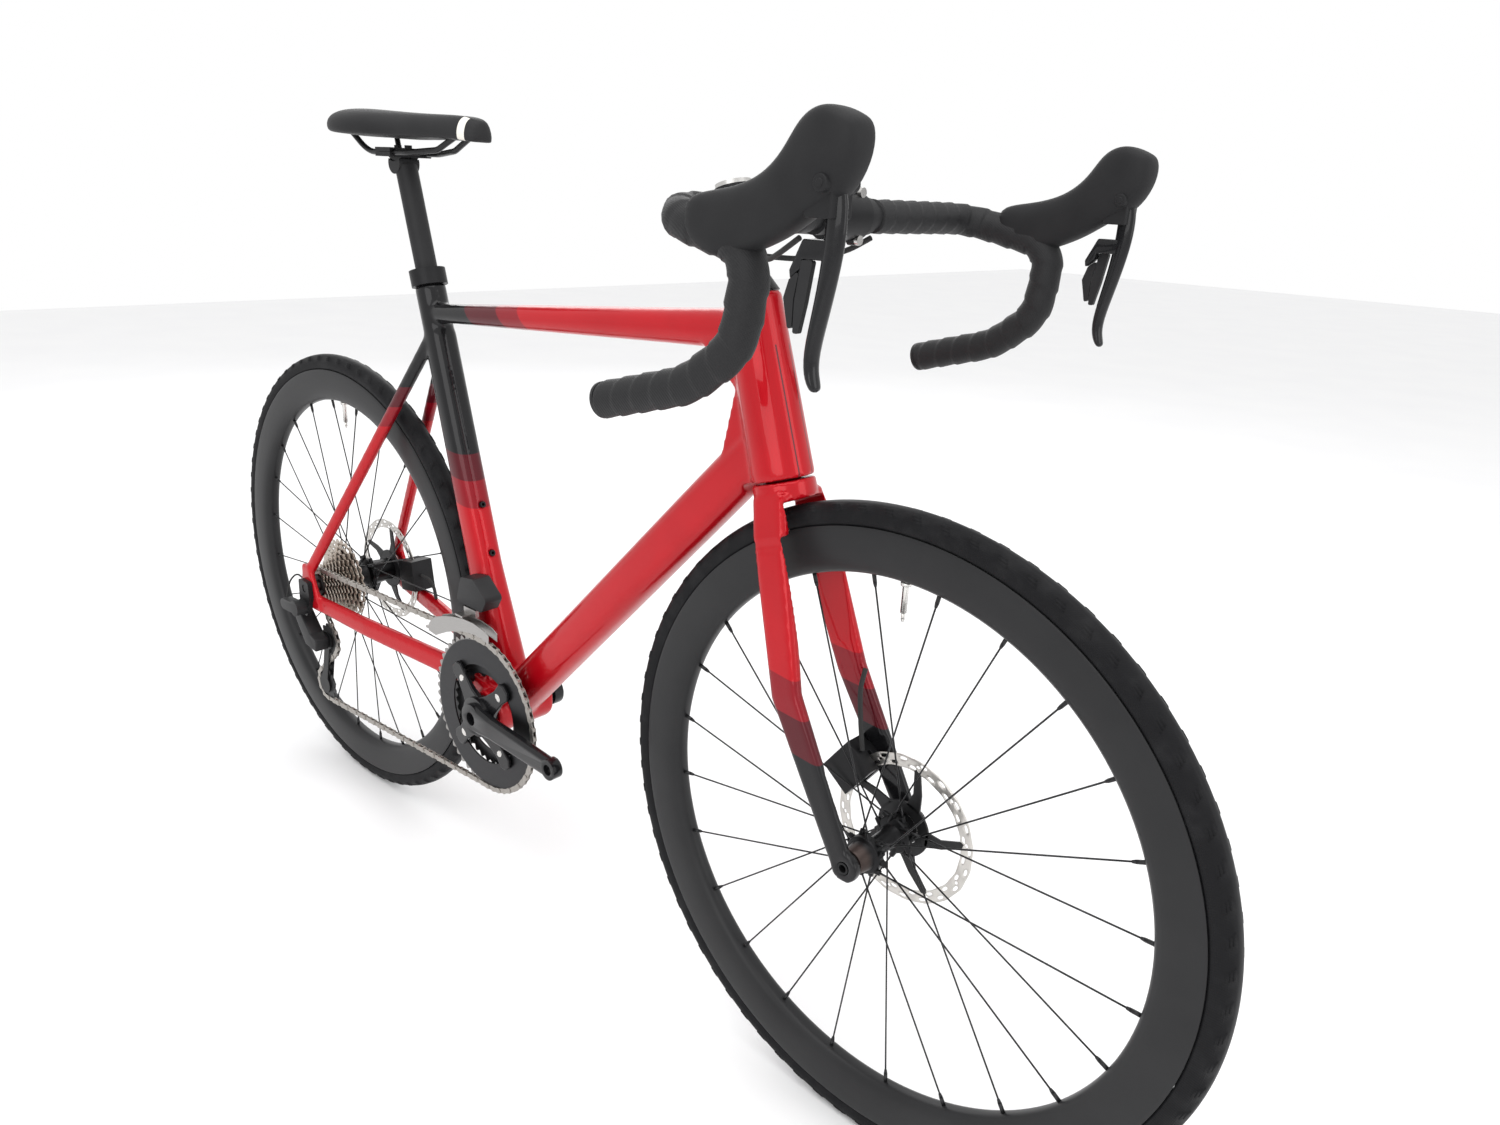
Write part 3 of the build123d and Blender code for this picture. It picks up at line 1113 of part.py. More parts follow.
# ---- write the nodes ----
save("frame", frame())
save("frame_bearings", *frame_bearings())
save("bottom_bracket_cups", bottom_bracket(-1), bottom_bracket(1))
save("bottle_bosses", *bottle_bosses())
save("derailleur_hanger", derailleur_hanger())
save("rear_thru_axle", rear_thru_axle())
save("seat_clamp", *seat_clamp())
save("fork", fork())
save("front_thru_axle", front_thru_axle())
save("headset_spacers", *headset_spacers())
save("stem", stem())
save("stem_faceplate", stem_faceplate())
save("cockpit_bolts", *cockpit_bolts())
save("handlebar", handlebar())
save("bar_tape", *both(bar_tape))
save("bar_plugs", *both(bar_plug))
save("lever_brackets", *both(lever_bracket))
save("lever_hoods", *both(lever_hood))
for name, side in (("right", -1), ("left", 1)):
    save(f"brake_lever_{name}", brake_lever(side))
    save(f"shift_paddle_{name}_front", shift_paddle(side, FRONT_PADDLE))
    save(f"shift_paddle_{name}_rear", shift_paddle(side, REAR_PADDLE))
save("seatpost", seatpost())
save("saddle_clamp", *saddle_clamp())
save("saddle_rails", rail(-1), rail(1))
save("saddle_shell", saddle_shell())
save("saddle_pad", saddle_pad())

for name, x, spacing, flange_r, flange_y, rotor_y, brake, carrier in (
        ("front", FRONT_X, FRONT_SPACING, 16.0, 24.0, FRONT_ROTOR_Y, FRONT_BRAKE, fork()),
        ("rear", REAR_X, REAR_SPACING, 22.0, 16.5, REAR_ROTOR_Y, REAR_BRAKE, chainstay(1))):
    save(f"{name}_tyre", tyre(x))
    save(f"{name}_rim", rim(x))
    save(f"{name}_spokes", *spokes(x, flange_r, flange_y), valve(x))
    save(f"{name}_hub", hub(x, flange_r, flange_y, spacing, rotor_y))
    save(f"{name}_rotor", rotor(x, rotor_y))
    save(f"{name}_caliper", brake.caliper(carrier))
    save(f"{name}_pad_right", brake.pad(-1))
    save(f"{name}_pad_left", brake.pad(1))

save("cassette", cassette())
save("chain", chain())
save("chain_cage_run", chain_cage_run())
save("rear_derailleur_knuckle", derailleur_knuckle())
save("rear_derailleur_motor", derailleur_motor())
save("rear_derailleur_cage", derailleur_cage())
save("guide_pulley", pulley(GUIDE))
save("tension_pulley", pulley(TENSION))
save("front_derailleur", front_derailleur())
save("front_derailleur_cage", front_derailleur_cage())
save("crank_right", crank_right())
save("crank_left", crank_left())
save("chainrings", chainring(RING_R - UNDER_CHAIN, -CHAIN_LINE, 48),
     chainring(INNER_RING_R + TOOTH, -CHAIN_LINE + RING_STEP, 48), *chainring_bolts())
save("rear_hoses", *rear_hoses())
save("front_hoses", *front_hoses())
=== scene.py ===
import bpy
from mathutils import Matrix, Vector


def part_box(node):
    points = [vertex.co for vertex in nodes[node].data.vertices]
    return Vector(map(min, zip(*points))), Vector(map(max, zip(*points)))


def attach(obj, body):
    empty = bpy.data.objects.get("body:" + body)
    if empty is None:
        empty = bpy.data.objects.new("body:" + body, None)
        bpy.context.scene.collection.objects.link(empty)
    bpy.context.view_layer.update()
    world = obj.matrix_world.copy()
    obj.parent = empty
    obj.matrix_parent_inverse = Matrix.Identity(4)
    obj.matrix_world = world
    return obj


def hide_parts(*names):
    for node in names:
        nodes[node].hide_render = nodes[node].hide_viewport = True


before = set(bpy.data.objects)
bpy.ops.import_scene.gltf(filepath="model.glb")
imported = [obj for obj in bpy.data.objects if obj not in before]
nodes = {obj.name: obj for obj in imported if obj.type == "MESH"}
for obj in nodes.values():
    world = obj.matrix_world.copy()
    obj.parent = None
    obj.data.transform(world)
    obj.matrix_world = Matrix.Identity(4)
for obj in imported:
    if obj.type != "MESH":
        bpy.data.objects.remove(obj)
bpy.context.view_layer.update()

from math import cos, pi, radians, sin, tau

import bmesh
import bpy
from mathutils import Matrix, Vector

# ---- camera ----
# The view is from the drive side at a standing height, ahead of the front wheel, down along the bicycle.
# A 26 mm lens on a 36 mm wide sensor, rolled a little clockwise.
camera = bpy.data.objects.new("camera", bpy.data.cameras.new("camera"))
bpy.context.scene.collection.objects.link(camera)
camera.data.lens = 25.87
camera.data.sensor_width = 36.0
camera.data.clip_start = 0.01
view_right = Vector((0.73825, 0.67290, 0.04681))
view_up = Vector((-0.25382, 0.21284, 0.94354))
view_back = Vector((0.62495, -0.70845, 0.32792))
turned = Matrix((view_right, view_up, view_back)).transposed().to_4x4()
camera.matrix_world = Matrix.Translation((0.99015, -0.77001, 0.93480)) @ turned
bpy.context.scene.camera = camera
bpy.context.scene.view_settings.view_transform = "Standard"


# ---- floor and light ----
# A plain white studio: a flat pale floor under a white sky, a wide soft light overhead,
# and weaker soft lights on the drive side, ahead and behind.
class Value:
    """A socket of a material's nodes. Sums and products of values add Math nodes."""

    def __init__(self, tree, socket=None):
        self.tree = tree
        self.socket = socket

    def add(self, kind, settings=None, sockets=None, out=0):
        """Any node: its settings come first, then the values or links of its sockets."""
        node = self.tree.nodes.new(kind)
        for name, setting in (settings or {}).items():
            if name == "stops":
                elements = node.color_ramp.elements
                elements.remove(elements[1])
                elements[0].position, elements[0].color = setting[0]
                for place, colour in setting[1:]:
                    elements.new(place).color = colour
            else:
                setattr(node, name, setting)
        for name, value in (sockets or {}).items():
            if isinstance(value, Value):
                self.tree.links.new(value.socket, node.inputs[name])
            else:
                node.inputs[name].default_value = value
        return Value(self.tree, node.outputs[out]) if node.outputs else None

    def math(self, operation, *values):
        return self.add("ShaderNodeMath", {"operation": operation}, dict(enumerate(values)))

    def __add__(self, other):
        return self.math("ADD", self, other)

    def __radd__(self, other):
        return self.math("ADD", other, self)

    def __sub__(self, other):
        return self.math("SUBTRACT", self, other)

    def __rsub__(self, other):
        return self.math("SUBTRACT", other, self)

    def __mul__(self, other):
        return self.math("MULTIPLY", self, other)

    def __rmul__(self, other):
        return self.math("MULTIPLY", other, self)

    def __lt__(self, other):
        return self.math("LESS_THAN", self, other)


def place_of(name):
    """A new material, and its coordinates as a value."""
    block = bpy.data.materials.new(name)
    block.use_nodes = True
    block.node_tree.nodes.clear()
    return block, Value(block.node_tree).add("ShaderNodeTexCoord", out="Object")


def axes(place):
    """The x, y and z of a place."""
    return [place.add("ShaderNodeSeparateXYZ", {}, {0: place}, out=part) for part in range(3)]


def noise(place, scale, detail=2.0, stretch=(1, 1, 1)):
    """Soft random variation from 0 to 1, with its scale in features per metre."""
    turned_place = place.add("ShaderNodeMapping", {}, {"Vector": place, "Scale": stretch})
    return place.add("ShaderNodeTexNoise", {}, {"Vector": turned_place, "Scale": scale, "Detail": detail})


def between(value, low, high):
    """0 below the low end and 1 above the high end, with a soft step between them."""
    return value.add("ShaderNodeMapRange", {"interpolation_type": "SMOOTHSTEP"},
                     {"Value": value, "From Min": low, "From Max": high})


def blend(factor, first, second):
    """A colour between two others."""
    return factor.add("ShaderNodeMix", {"data_type": "RGBA"}, {0: factor, 6: first, 7: second}, out=2)


def bump(height, distance, strength):
    """Small relief, with its depth in metres."""
    return height.add("ShaderNodeBump", {}, {"Height": height, "Distance": distance, "Strength": strength})


def close(block, place, **sockets):
    """Ends a material with its one shader."""
    named = {name.replace("_", " "): value for name, value in sockets.items()}
    shader = place.add("ShaderNodeBsdfPrincipled", {}, named)
    place.add("ShaderNodeOutputMaterial", {}, {"Surface": shader})
    return block


def rgb(red, green, blue):
    return (red, green, blue, 1.0)


def new_piece(name, mesh, *materials):
    """A piece at the origin with its materials; its place is in its mesh."""
    piece = bpy.data.objects.new(name, mesh)
    bpy.context.scene.collection.objects.link(piece)
    for block in materials:
        mesh.materials.append(block)
    return piece


def as_mesh(shape, name):
    """Turns a bmesh into a mesh as it is."""
    mesh = bpy.data.meshes.new(name)
    shape.to_mesh(mesh)
    shape.free()
    return mesh


def close_mesh(shape, name, smooth=True):
    """Turns a bmesh into a mesh with outward faces."""
    bmesh.ops.recalc_face_normals(shape, faces=shape.faces)
    for face in shape.faces:
        face.smooth = smooth
    return as_mesh(shape, name)


def verts_of(geometry):
    return [part for part in geometry if isinstance(part, bmesh.types.BMVert)]


def soften(piece, width, segments=2, even=False):
    """Rounds a piece's sharp edges; even keeps its flat faces flat."""
    edge = piece.modifiers.new("edge", "BEVEL")
    edge.width, edge.segments, edge.limit_method = width, segments, "ANGLE"
    edge.harden_normals = even
    return edge


def subdivide(piece, levels):
    rounded = piece.modifiers.new("rounded", "SUBSURF")
    rounded.levels = rounded.render_levels = levels


def settle(piece, body, node=None):
    """Gives a piece its body, and hides the CAD node that it replaces."""
    if node:
        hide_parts(node)
    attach(piece, body)


def surface(name, fine, dark, light, rough, dents, clouds=None, **more):
    """A material with a fine grain: its colours, its roughness and the grain's share in it, and its relief."""
    block, place = place_of(name)
    grain = noise(place, *fine)
    tint = noise(place, *clouds) if clouds else grain
    return close(block, place, Base_Color=blend(tint, rgb(*dark), rgb(*light)),
                 Roughness=rough[0] + grain * rough[1], Normal=bump(grain, *dents), **more)


FLOOR_BACK, FLOOR_SIDE, FLOOR_LENGTH = 7.0, 14.0, 20.0
shape = bmesh.new()
edge = shape.edges.new([shape.verts.new((-FLOOR_BACK, side * FLOOR_SIDE, 0)) for side in (-1, 1)])
ahead = bmesh.ops.extrude_edge_only(shape, edges=[edge])["geom"]
bmesh.ops.translate(shape, vec=(FLOOR_LENGTH, 0, 0), verts=verts_of(ahead))
bmesh.ops.recalc_face_normals(shape, faces=shape.faces)
for face in shape.faces:
    if face.normal.z < 0:
        face.normal_flip()
mesh = as_mesh(shape, "floor")
floor_white, place = place_of("floor_white")
grain = noise(place, 3.0)
close(floor_white, place, Base_Color=blend(grain, rgb(0.86, 0.86, 0.87), rgb(0.90, 0.90, 0.90)),
      Roughness=0.75, Specular_IOR_Level=0.2)
floor = new_piece("floor", mesh, floor_white)


def soft_light(name, place, size, power, aim=(0, 0, 0.5)):
    lamp = bpy.data.lights.new(name, "AREA")
    lamp.shape = "RECTANGLE"
    lamp.size, lamp.size_y = size
    lamp.energy = power
    light = bpy.data.objects.new(name, lamp)
    bpy.context.scene.collection.objects.link(light)
    away = (Vector(place) - Vector(aim)).normalized()
    light.matrix_world = Matrix.Translation(place) @ away.to_track_quat("Z", "Y").to_matrix().to_4x4()


soft_light("light_above", (0.6, -0.6, 3.2), (3.5, 2.5), 55)
soft_light("light_drive_side", (1.6, -3.4, 1.6), (3.0, 1.6), 30)
soft_light("light_ahead", (3.6, 0.8, 1.4), (1.6, 2.0), 18)
soft_light("light_behind", (-2.8, 2.4, 2.2), (2.5, 1.8), 22)
sky = bpy.data.worlds.new("studio")
sky.use_nodes = True
sky.node_tree.nodes["Background"].inputs["Color"].default_value = rgb(1.0, 1.0, 1.0)
sky.node_tree.nodes["Background"].inputs["Strength"].default_value = 1.0
bpy.context.scene.world = sky


# ---- frame and fork ----
# Monocoque carbon, moulded in one skin and rubbed smooth where the tubes meet, under candy red lacquer.
# The red darkens in slanted bands to black at the seat cluster, the upper seatstays and the fork tips.
candy = rgb(0.44, 0.002, 0.008)
deep_red = rgb(0.24, 0.003, 0.010)
maroon = rgb(0.085, 0.004, 0.009)
paint_black = rgb(0.008, 0.008, 0.009)


def moulded(node, name, voxel, rounds):
    """A copy of a CAD node, remade as one skin and rubbed smooth."""
    mesh = nodes[node].data.copy()
    mesh.materials.clear()
    piece = new_piece(name, mesh)
    joined = bmesh.new()
    joined.from_mesh(mesh)
    bmesh.ops.remove_doubles(joined, verts=joined.verts, dist=1e-6)
    joined.to_mesh(mesh)
    joined.free()
    skin = piece.modifiers.new("skin", "REMESH")
    skin.mode = "VOXEL"
    skin.voxel_size = voxel
    bpy.context.view_layer.update()
    made = bpy.data.meshes.new_from_object(piece.evaluated_get(bpy.context.evaluated_depsgraph_get()))
    piece.modifiers.clear()
    smoothed = bmesh.new()
    smoothed.from_mesh(made)
    for _ in range(rounds):
        bmesh.ops.smooth_vert(smoothed, verts=smoothed.verts, factor=0.5,
                              use_axis_x=True, use_axis_y=True, use_axis_z=True)
    for face in smoothed.faces:
        face.smooth = True
    smoothed.to_mesh(made)
    smoothed.free()
    piece.data = made
    return piece


def banded(height, first, *stops):
    """The lacquer's colour by height: the lowest colour, then each height where another one starts."""
    colour = first
    for start, following in stops:
        colour = blend(between(height, start - 0.0004, start + 0.0004), colour, following)
    return colour


def shaded(place, colour):
    """The same colour a shade deeper."""
    return place.add("ShaderNodeMix", {"data_type": "RGBA", "blend_type": "MULTIPLY"},
                     {0: 1.0, 6: colour, 7: rgb(0.80, 0.72, 0.74)}, out=2)


def lacquer(block, place, colour):
    """Clear lacquer over fine flake, with a faint long ripple from the mould."""
    flake = noise(place, 5200.0, 1.0)
    wave = noise(place, 18.0, 2.0)
    orange_peel = noise(place, 420.0, 2.0)
    depth = blend(between(wave, 0.3, 0.7) * 0.35, colour, shaded(place, colour))
    return close(block, place, Base_Color=depth, Metallic=0.25, Roughness=0.24 + flake * 0.10,
                 Coat_Weight=0.4, Coat_Roughness=0.04, Specular_IOR_Level=0.12,
                 Normal=bump(orange_peel, 0.00006, 0.5))


frame_lacquer, place = place_of("frame_lacquer")
x, y, z = axes(place)
seat_colour = banded(z + x * 0.12 + 0.026, candy,
                     (0.536, deep_red), (0.569, maroon), (0.601, paint_black))
stay_colour = banded(z - x * 0.10 - 0.040, candy,
                     (0.602, deep_red), (0.629, maroon), (0.656, paint_black))
run_back = 0.0 - x - z * 0.9
top_colour = banded(run_back, candy, (-0.66, deep_red), (-0.615, maroon), (-0.545, paint_black))
is_top = between(z + x * 0.10, 0.700, 0.702)
is_stay = between(0.0 - x - z * 0.2915, 0.045, 0.047)
rear_colour = blend(is_stay, seat_colour, stay_colour)
low_front = between(x + z * 0.2915, 0.022, 0.024)
tubes = blend(low_front, rear_colour, candy)
side_way = place.math("ABSOLUTE", y)
stripe = between(side_way, 0.0085, 0.0088) * (1 - between(side_way, 0.0100, 0.0103))
on_front = between(x + z * 0.3057, 0.5720, 0.5724) * (z < 0.80)
frame_colour = blend(stripe * on_front, blend(is_top, tubes, top_colour), maroon)
lacquer(frame_lacquer, place, frame_colour)

frame_skin = moulded("frame", "frame_skin", 0.0024, 5)
frame_skin.data.materials.append(frame_lacquer)
settle(frame_skin, "frame", "frame")

fork_lacquer, place = place_of("fork_lacquer")
x, y, z = axes(place)
fork_colour = banded(z + x * 0.08 - 0.036, paint_black,
                     (0.430, maroon), (0.466, deep_red), (0.500, candy))
lacquer(fork_lacquer, place, fork_colour)
fork_skin = moulded("fork", "fork_skin", 0.0020, 4)
fork_skin.data.materials.append(fork_lacquer)
settle(fork_skin, "steering", "fork")


# ---- tyres ----
# Black rubber road tyres, 28 mm wide, moulded with a slick middle, slanted cuts on both shoulders
# and fine bead lines; each sits in its rim's hooked edges.
WHEEL_RADIUS = 0.339
REAR_X, FRONT_X = -0.4975, 0.4975
TYRE_R = 0.014
TYRE_CENTRE = WHEEL_RADIUS - TYRE_R
CUT_STEPS = 216
CUT_EVERY = 3
CUT_DEPTH = 0.0008


def spun(points, steps, x):
    """A full turn of a section of (y, radius) points about a wheel's axle."""
    shape = bmesh.new()
    ring = [shape.verts.new((0, y, radius)) for y, radius in points]
    edges = [shape.edges.new(pair) for pair in zip(ring, ring[1:] + ring[:1])]
    bmesh.ops.spin(shape, geom=ring + edges, cent=(0, 0, 0), axis=(0, 1, 0), dvec=(0, 0, 0),
                   angle=tau, steps=steps, use_merge=True, use_duplicate=False)
    bmesh.ops.translate(shape, vec=(x, 0, WHEEL_RADIUS), verts=shape.verts)
    return shape


def tyre_rubber(name, wheel_x):
    block, place = place_of(name)
    x, y, z = axes(place)
    turn = place.math("ARCTAN2", z - WHEEL_RADIUS, x - wheel_x)
    out = place.math("SQRT", (x - wheel_x) * (x - wheel_x) + (z - WHEEL_RADIUS) * (z - WHEEL_RADIUS))
    worn = between(place.math("ABSOLUTE", y), 0.0045, 0.0065)
    mottle = noise(place, 260.0, 4.0)
    ribs = place.math("SINE", out * 4200.0) * between(place.math("ABSOLUTE", y), 0.0105, 0.0115)
    threads = place.math("SINE", turn * 900.0 + y * 2600.0) * worn
    dust = between(noise(place, 40.0, 5.0), 0.45, 0.75)
    colour = blend(dust * 0.5, rgb(0.006, 0.006, 0.007), rgb(0.018, 0.018, 0.019))
    height = mottle * 0.4 + ribs * 0.3 + threads * 0.25
    return close(block, place, Base_Color=colour, Roughness=0.42 + worn * 0.14 + mottle * 0.1,
                 Specular_IOR_Level=0.14, Normal=bump(height, 0.00025, 0.6))


def tyre(name, node, wheel_x, body):
    arc = [radians(-123 + 246 * step / 22) for step in range(23)]
    section = [(TYRE_R * sin(a), TYRE_CENTRE + TYRE_R * cos(a)) for a in arc]
    shape = spun(section, CUT_STEPS, wheel_x)
    step_angle = tau / CUT_STEPS
    shoulders = []
    for face in shape.faces:
        middle = face.calc_center_median()
        out = Vector((middle.x - wheel_x, 0, middle.z - WHEEL_RADIUS))
        lean = abs(middle.y) / TYRE_R
        number = int((pi + Vector((1, 0)).angle_signed(Vector((out.x, out.z)), 0.0)) / step_angle)
        high = out.length > TYRE_CENTRE + 0.006
        if high and 0.52 < lean < 0.88 and (number + (middle.y > 0)) % CUT_EVERY == 0:
            shoulders.append(face)
    bmesh.ops.inset_individual(shape, faces=shoulders, thickness=0.0007, depth=-CUT_DEPTH)
    for vert in shape.verts:
        sideways = max(0.0, abs(vert.co.y) - 0.004) * 0.9
        swing = Matrix.Rotation(sideways / WHEEL_RADIUS, 3, "Y")
        centre = Vector((wheel_x, 0, WHEEL_RADIUS))
        vert.co = centre + swing @ (vert.co - centre)
    piece = new_piece(name, close_mesh(shape, name), tyre_rubber(name + "_rubber", wheel_x))
    settle(piece, body, node)


tyre("front_tyre_cover", "front_tyre", FRONT_X, "front_wheel")
tyre("rear_tyre_cover", "rear_tyre", REAR_X, "rear_wheel")

# ---- rims ----
# Deep rims of moulded carbon, satin and nearly black, with bulged sides, a rounded nose
# and hooked edges around the tyre's bed.
RIM_SIDE = [(0.0112, 0.3172), (0.0132, 0.3172), (0.0137, 0.3135), (0.0138, 0.3050), (0.0137, 0.2970),
            (0.0132, 0.2890), (0.0120, 0.2818), (0.0098, 0.2764), (0.0066, 0.2731), (0.0030, 0.2718)]
RIM_BED = [(-0.0112, 0.3090), (0.0112, 0.3090)]
rim_carbon, place = place_of("rim_carbon")
cloth = noise(place, 300.0, 3.0, (1, 3, 1))
clouds = noise(place, 14.0, 4.0)
close(rim_carbon, place, Base_Color=blend(clouds, rgb(0.010, 0.010, 0.011), rgb(0.021, 0.021, 0.022)),
      Roughness=0.34 + clouds * 0.10, Coat_Weight=0.1, Coat_Roughness=0.3, Specular_IOR_Level=0.18,
      Normal=bump(cloth, 0.00008, 0.4))
for name, wheel_x, body in (("front_rim", FRONT_X, "front_wheel"), ("rear_rim", REAR_X, "rear_wheel")):
    section = RIM_SIDE + [(-y, radius) for y, radius in reversed(RIM_SIDE)] + RIM_BED
    shape = spun(section, 192, wheel_x)
    piece = new_piece(name + "_carbon", close_mesh(shape, name), rim_carbon)
    soften(piece, 0.0004)
    settle(piece, body, name)

# ---- spokes and valves ----
# Twenty-four straight-pull spokes of thin blackened steel in each wheel, with black nipples at the rim,
# and a bright nickel valve with a knurled ring and a cap.
SPOKE_COUNT = 24
NOSE_RADIUS = 0.272
SPOKE_LEAN = radians(38.0)
SPOKE_ROW = 0.0018


def round_bar(shape, start, end, low_radius, high_radius=None, segments=10):
    """A round or tapered bar between two points."""
    start, end = Vector(start), Vector(end)
    run = end - start
    turn_to = run.to_track_quat("Z", "Y").to_matrix().to_4x4()
    placed = Matrix.Translation((start + end) / 2) @ turn_to
    return bmesh.ops.create_cone(shape, cap_ends=True, segments=segments, radius1=low_radius,
                                 radius2=low_radius if high_radius is None else high_radius,
                                 depth=run.length, matrix=placed)["verts"]


def on_wheel(wheel_x, radius, angle, y):
    return Vector((wheel_x + radius * sin(angle), y, WHEEL_RADIUS + radius * cos(angle)))


def spoke_lines(wheel_x, flange_r, flange_y):
    """Root and tip of each spoke: alternate sides, pulled forward and back in turn."""
    lines = []
    for number in range(SPOKE_COUNT):
        angle = (number + 0.5) * tau / SPOKE_COUNT
        side = 1 if number % 2 else -1
        pull = 1 if number // 2 % 2 else -1
        root = on_wheel(wheel_x, flange_r, angle + pull * SPOKE_LEAN, side * (flange_y + pull * SPOKE_ROW))
        lines.append((root, on_wheel(wheel_x, NOSE_RADIUS, angle, 0)))
    return lines


spoke_black = surface("spoke_black", (500.0, 3.0), (0.010, 0.010, 0.011), (0.035, 0.035, 0.037),
                      (0.34, 0.12), (0.00003, 0.3), Metallic=0.6)
nickel = surface("nickel", (700.0, 3.0), (0.62, 0.60, 0.57), (0.75, 0.74, 0.72),
                 (0.20, 0.14), (0.00003, 0.3), Metallic=1.0)
VALVE_PARTS = [  # from and to, out of the axle; low and high radius; sides
    (0.2335, 0.2360, 0.0014, 0.0019, 12), (0.2360, 0.2420, 0.0019, 0.0019, 10),
    (0.2420, 0.3000, 0.0030, 0.0030, 16), (0.2680, 0.2715, 0.0052, 0.0052, 12)]


def wheel_spokes(name, node, wheel_x, flange_r, flange_y, body):
    shape = bmesh.new()
    for root, tip in spoke_lines(wheel_x, flange_r, flange_y):
        run = (tip - root).normalized()
        round_bar(shape, root + run * 0.002, root + run * 0.020, 0.0012, 0.0009, 8)
        round_bar(shape, root + run * 0.020, tip - run * 0.012, 0.0009, 0.0009, 8)
        round_bar(shape, tip - run * 0.013, tip - run * 0.009, 0.0014, 0.0020, 8)
        round_bar(shape, tip - run * 0.009, tip + run * 0.001, 0.0020, 0.0021, 8)
    bright = len(shape.faces)
    for low, high, low_r, high_r, sides in VALVE_PARTS:
        round_bar(shape, on_wheel(wheel_x, low, 0, 0), on_wheel(wheel_x, high, 0, 0), low_r, high_r, sides)
    shape.faces.ensure_lookup_table()
    for face in shape.faces[bright:]:
        face.material_index = 1
    piece = new_piece(name, close_mesh(shape, name), spoke_black, nickel)
    settle(piece, body, node)


FRONT_FLANGE, REAR_FLANGE = (0.016, 0.024), (0.022, 0.0165)  # radius, and way out from the middle
wheel_spokes("front_wheel_spokes", "front_spokes", FRONT_X, *FRONT_FLANGE, "front_wheel")
wheel_spokes("rear_wheel_spokes", "rear_spokes", REAR_X, *REAR_FLANGE, "rear_wheel")

# ---- hubs ----
# Turned aluminium shells, anodised black, with a waisted barrel, lugged flanges for the spoke heads,
# a splined seat for the rotor, and separate end caps.
hub_black, place = place_of("hub_black")
x, y, z = axes(place)
lathe = place.math("SINE", y * 9000.0)
rub = noise(place, 180.0, 3.0)
brown = between(y, -0.040, -0.030)
close(hub_black, place, Base_Color=blend(brown, rgb(0.050, 0.036, 0.032), rgb(0.012, 0.012, 0.013)),
      Metallic=0.75, Roughness=0.30 + rub * 0.12, Normal=bump(lathe + rub, 0.00003, 0.35))
FRONT_HUB = [(-0.0497, 0.0075), (-0.0497, 0.0088), (-0.0470, 0.0093), (-0.0465, 0.0116), (-0.0450, 0.0125),
             (-0.0300, 0.0150), (-0.0290, 0.0186), (-0.0272, 0.0192), (-0.0210, 0.0192), (-0.0200, 0.0180),
             (-0.0190, 0.0120), (-0.0100, 0.0100), (0.0100, 0.0100), (0.0190, 0.0120), (0.0200, 0.0180),
             (0.0210, 0.0192), (0.0272, 0.0192), (0.0290, 0.0186), (0.0300, 0.0168), (0.0430, 0.0168),
             (0.0440, 0.0158), (0.0465, 0.0110), (0.0480, 0.0093), (0.0497, 0.0088), (0.0497, 0.0075)]
REAR_HUB = [(-0.0707, 0.0075), (-0.0707, 0.0086), (-0.0200, 0.0088), (-0.0199, 0.0236), (-0.0190, 0.0250),
            (-0.0140, 0.0250), (-0.0130, 0.0236), (-0.0120, 0.0170), (-0.0060, 0.0140), (0.0060, 0.0140),
            (0.0120, 0.0170), (0.0130, 0.0236), (0.0140, 0.0250), (0.0190, 0.0250), (0.0200, 0.0236),
            (0.0215, 0.0190), (0.0480, 0.0168), (0.0590, 0.0168), (0.0600, 0.0150), (0.0640, 0.0110),
            (0.0660, 0.0092), (0.0707, 0.0086), (0.0707, 0.0075)]
for name, section, wheel_x, body, flange in (
        ("front_hub", FRONT_HUB, FRONT_X, "front_wheel", FRONT_FLANGE),
        ("rear_hub", REAR_HUB, REAR_X, "rear_wheel", REAR_FLANGE)):
    shape = spun(section, 64, wheel_x)
    for root, tip in spoke_lines(wheel_x, *flange):
        run = (tip - root).normalized()
        round_bar(shape, root - run * 0.0040, root + run * 0.0085, 0.0034, 0.0028, 12)
    piece = new_piece(name + "_shell", close_mesh(shape, name), hub_black)
    soften(piece, 0.0003)
    settle(piece, body, name)

# ---- brake rotors ----
# Stamped steel bands with a scalloped edge and rows of slots, riveted to black aluminium spiders.
# Braking polishes the band in rings.
rotor_steel, place = place_of("rotor_steel")
x, y, z = axes(place)
wheel_side = place.math("SIGN", x) * FRONT_X
across = x - wheel_side
out = place.math("SQRT", across * across + (z - WHEEL_RADIUS) * (z - WHEEL_RADIUS))
rings = place.add("ShaderNodeTexNoise", {"noise_dimensions": "1D"}, {"W": out, "Scale": 2600.0, "Detail": 3.0})
close(rotor_steel, place, Base_Color=blend(rings, rgb(0.50, 0.48, 0.45), rgb(0.68, 0.66, 0.63)), Metallic=1.0,
      Roughness=0.24 + rings * 0.16, Normal=bump(rings, 0.00004, 0.5))
spider_black = surface("spider_black", (220.0, 3.0), (0.012, 0.012, 0.013), (0.022, 0.022, 0.023),
                       (0.38, 0.1), (0.00004, 0.3), Metallic=0.5)
ROTOR_ROWS = (0.0655, 0.0684, 0.0713, 0.0742, 0.0771, 0.0800)
ROTOR_STEPS = 120
ROTOR_THICKNESS = 0.0018
RIVET_HALF = 0.00115
ROTOR_SCALLOPS = 20
ROTOR_ARMS = 5


def edges_of(geometry):
    return [part for part in geometry if isinstance(part, bmesh.types.BMEdge)]


def polar(point):
    return point.length, Vector((1, 0)).angle_signed(point.xy, 0.0) % tau


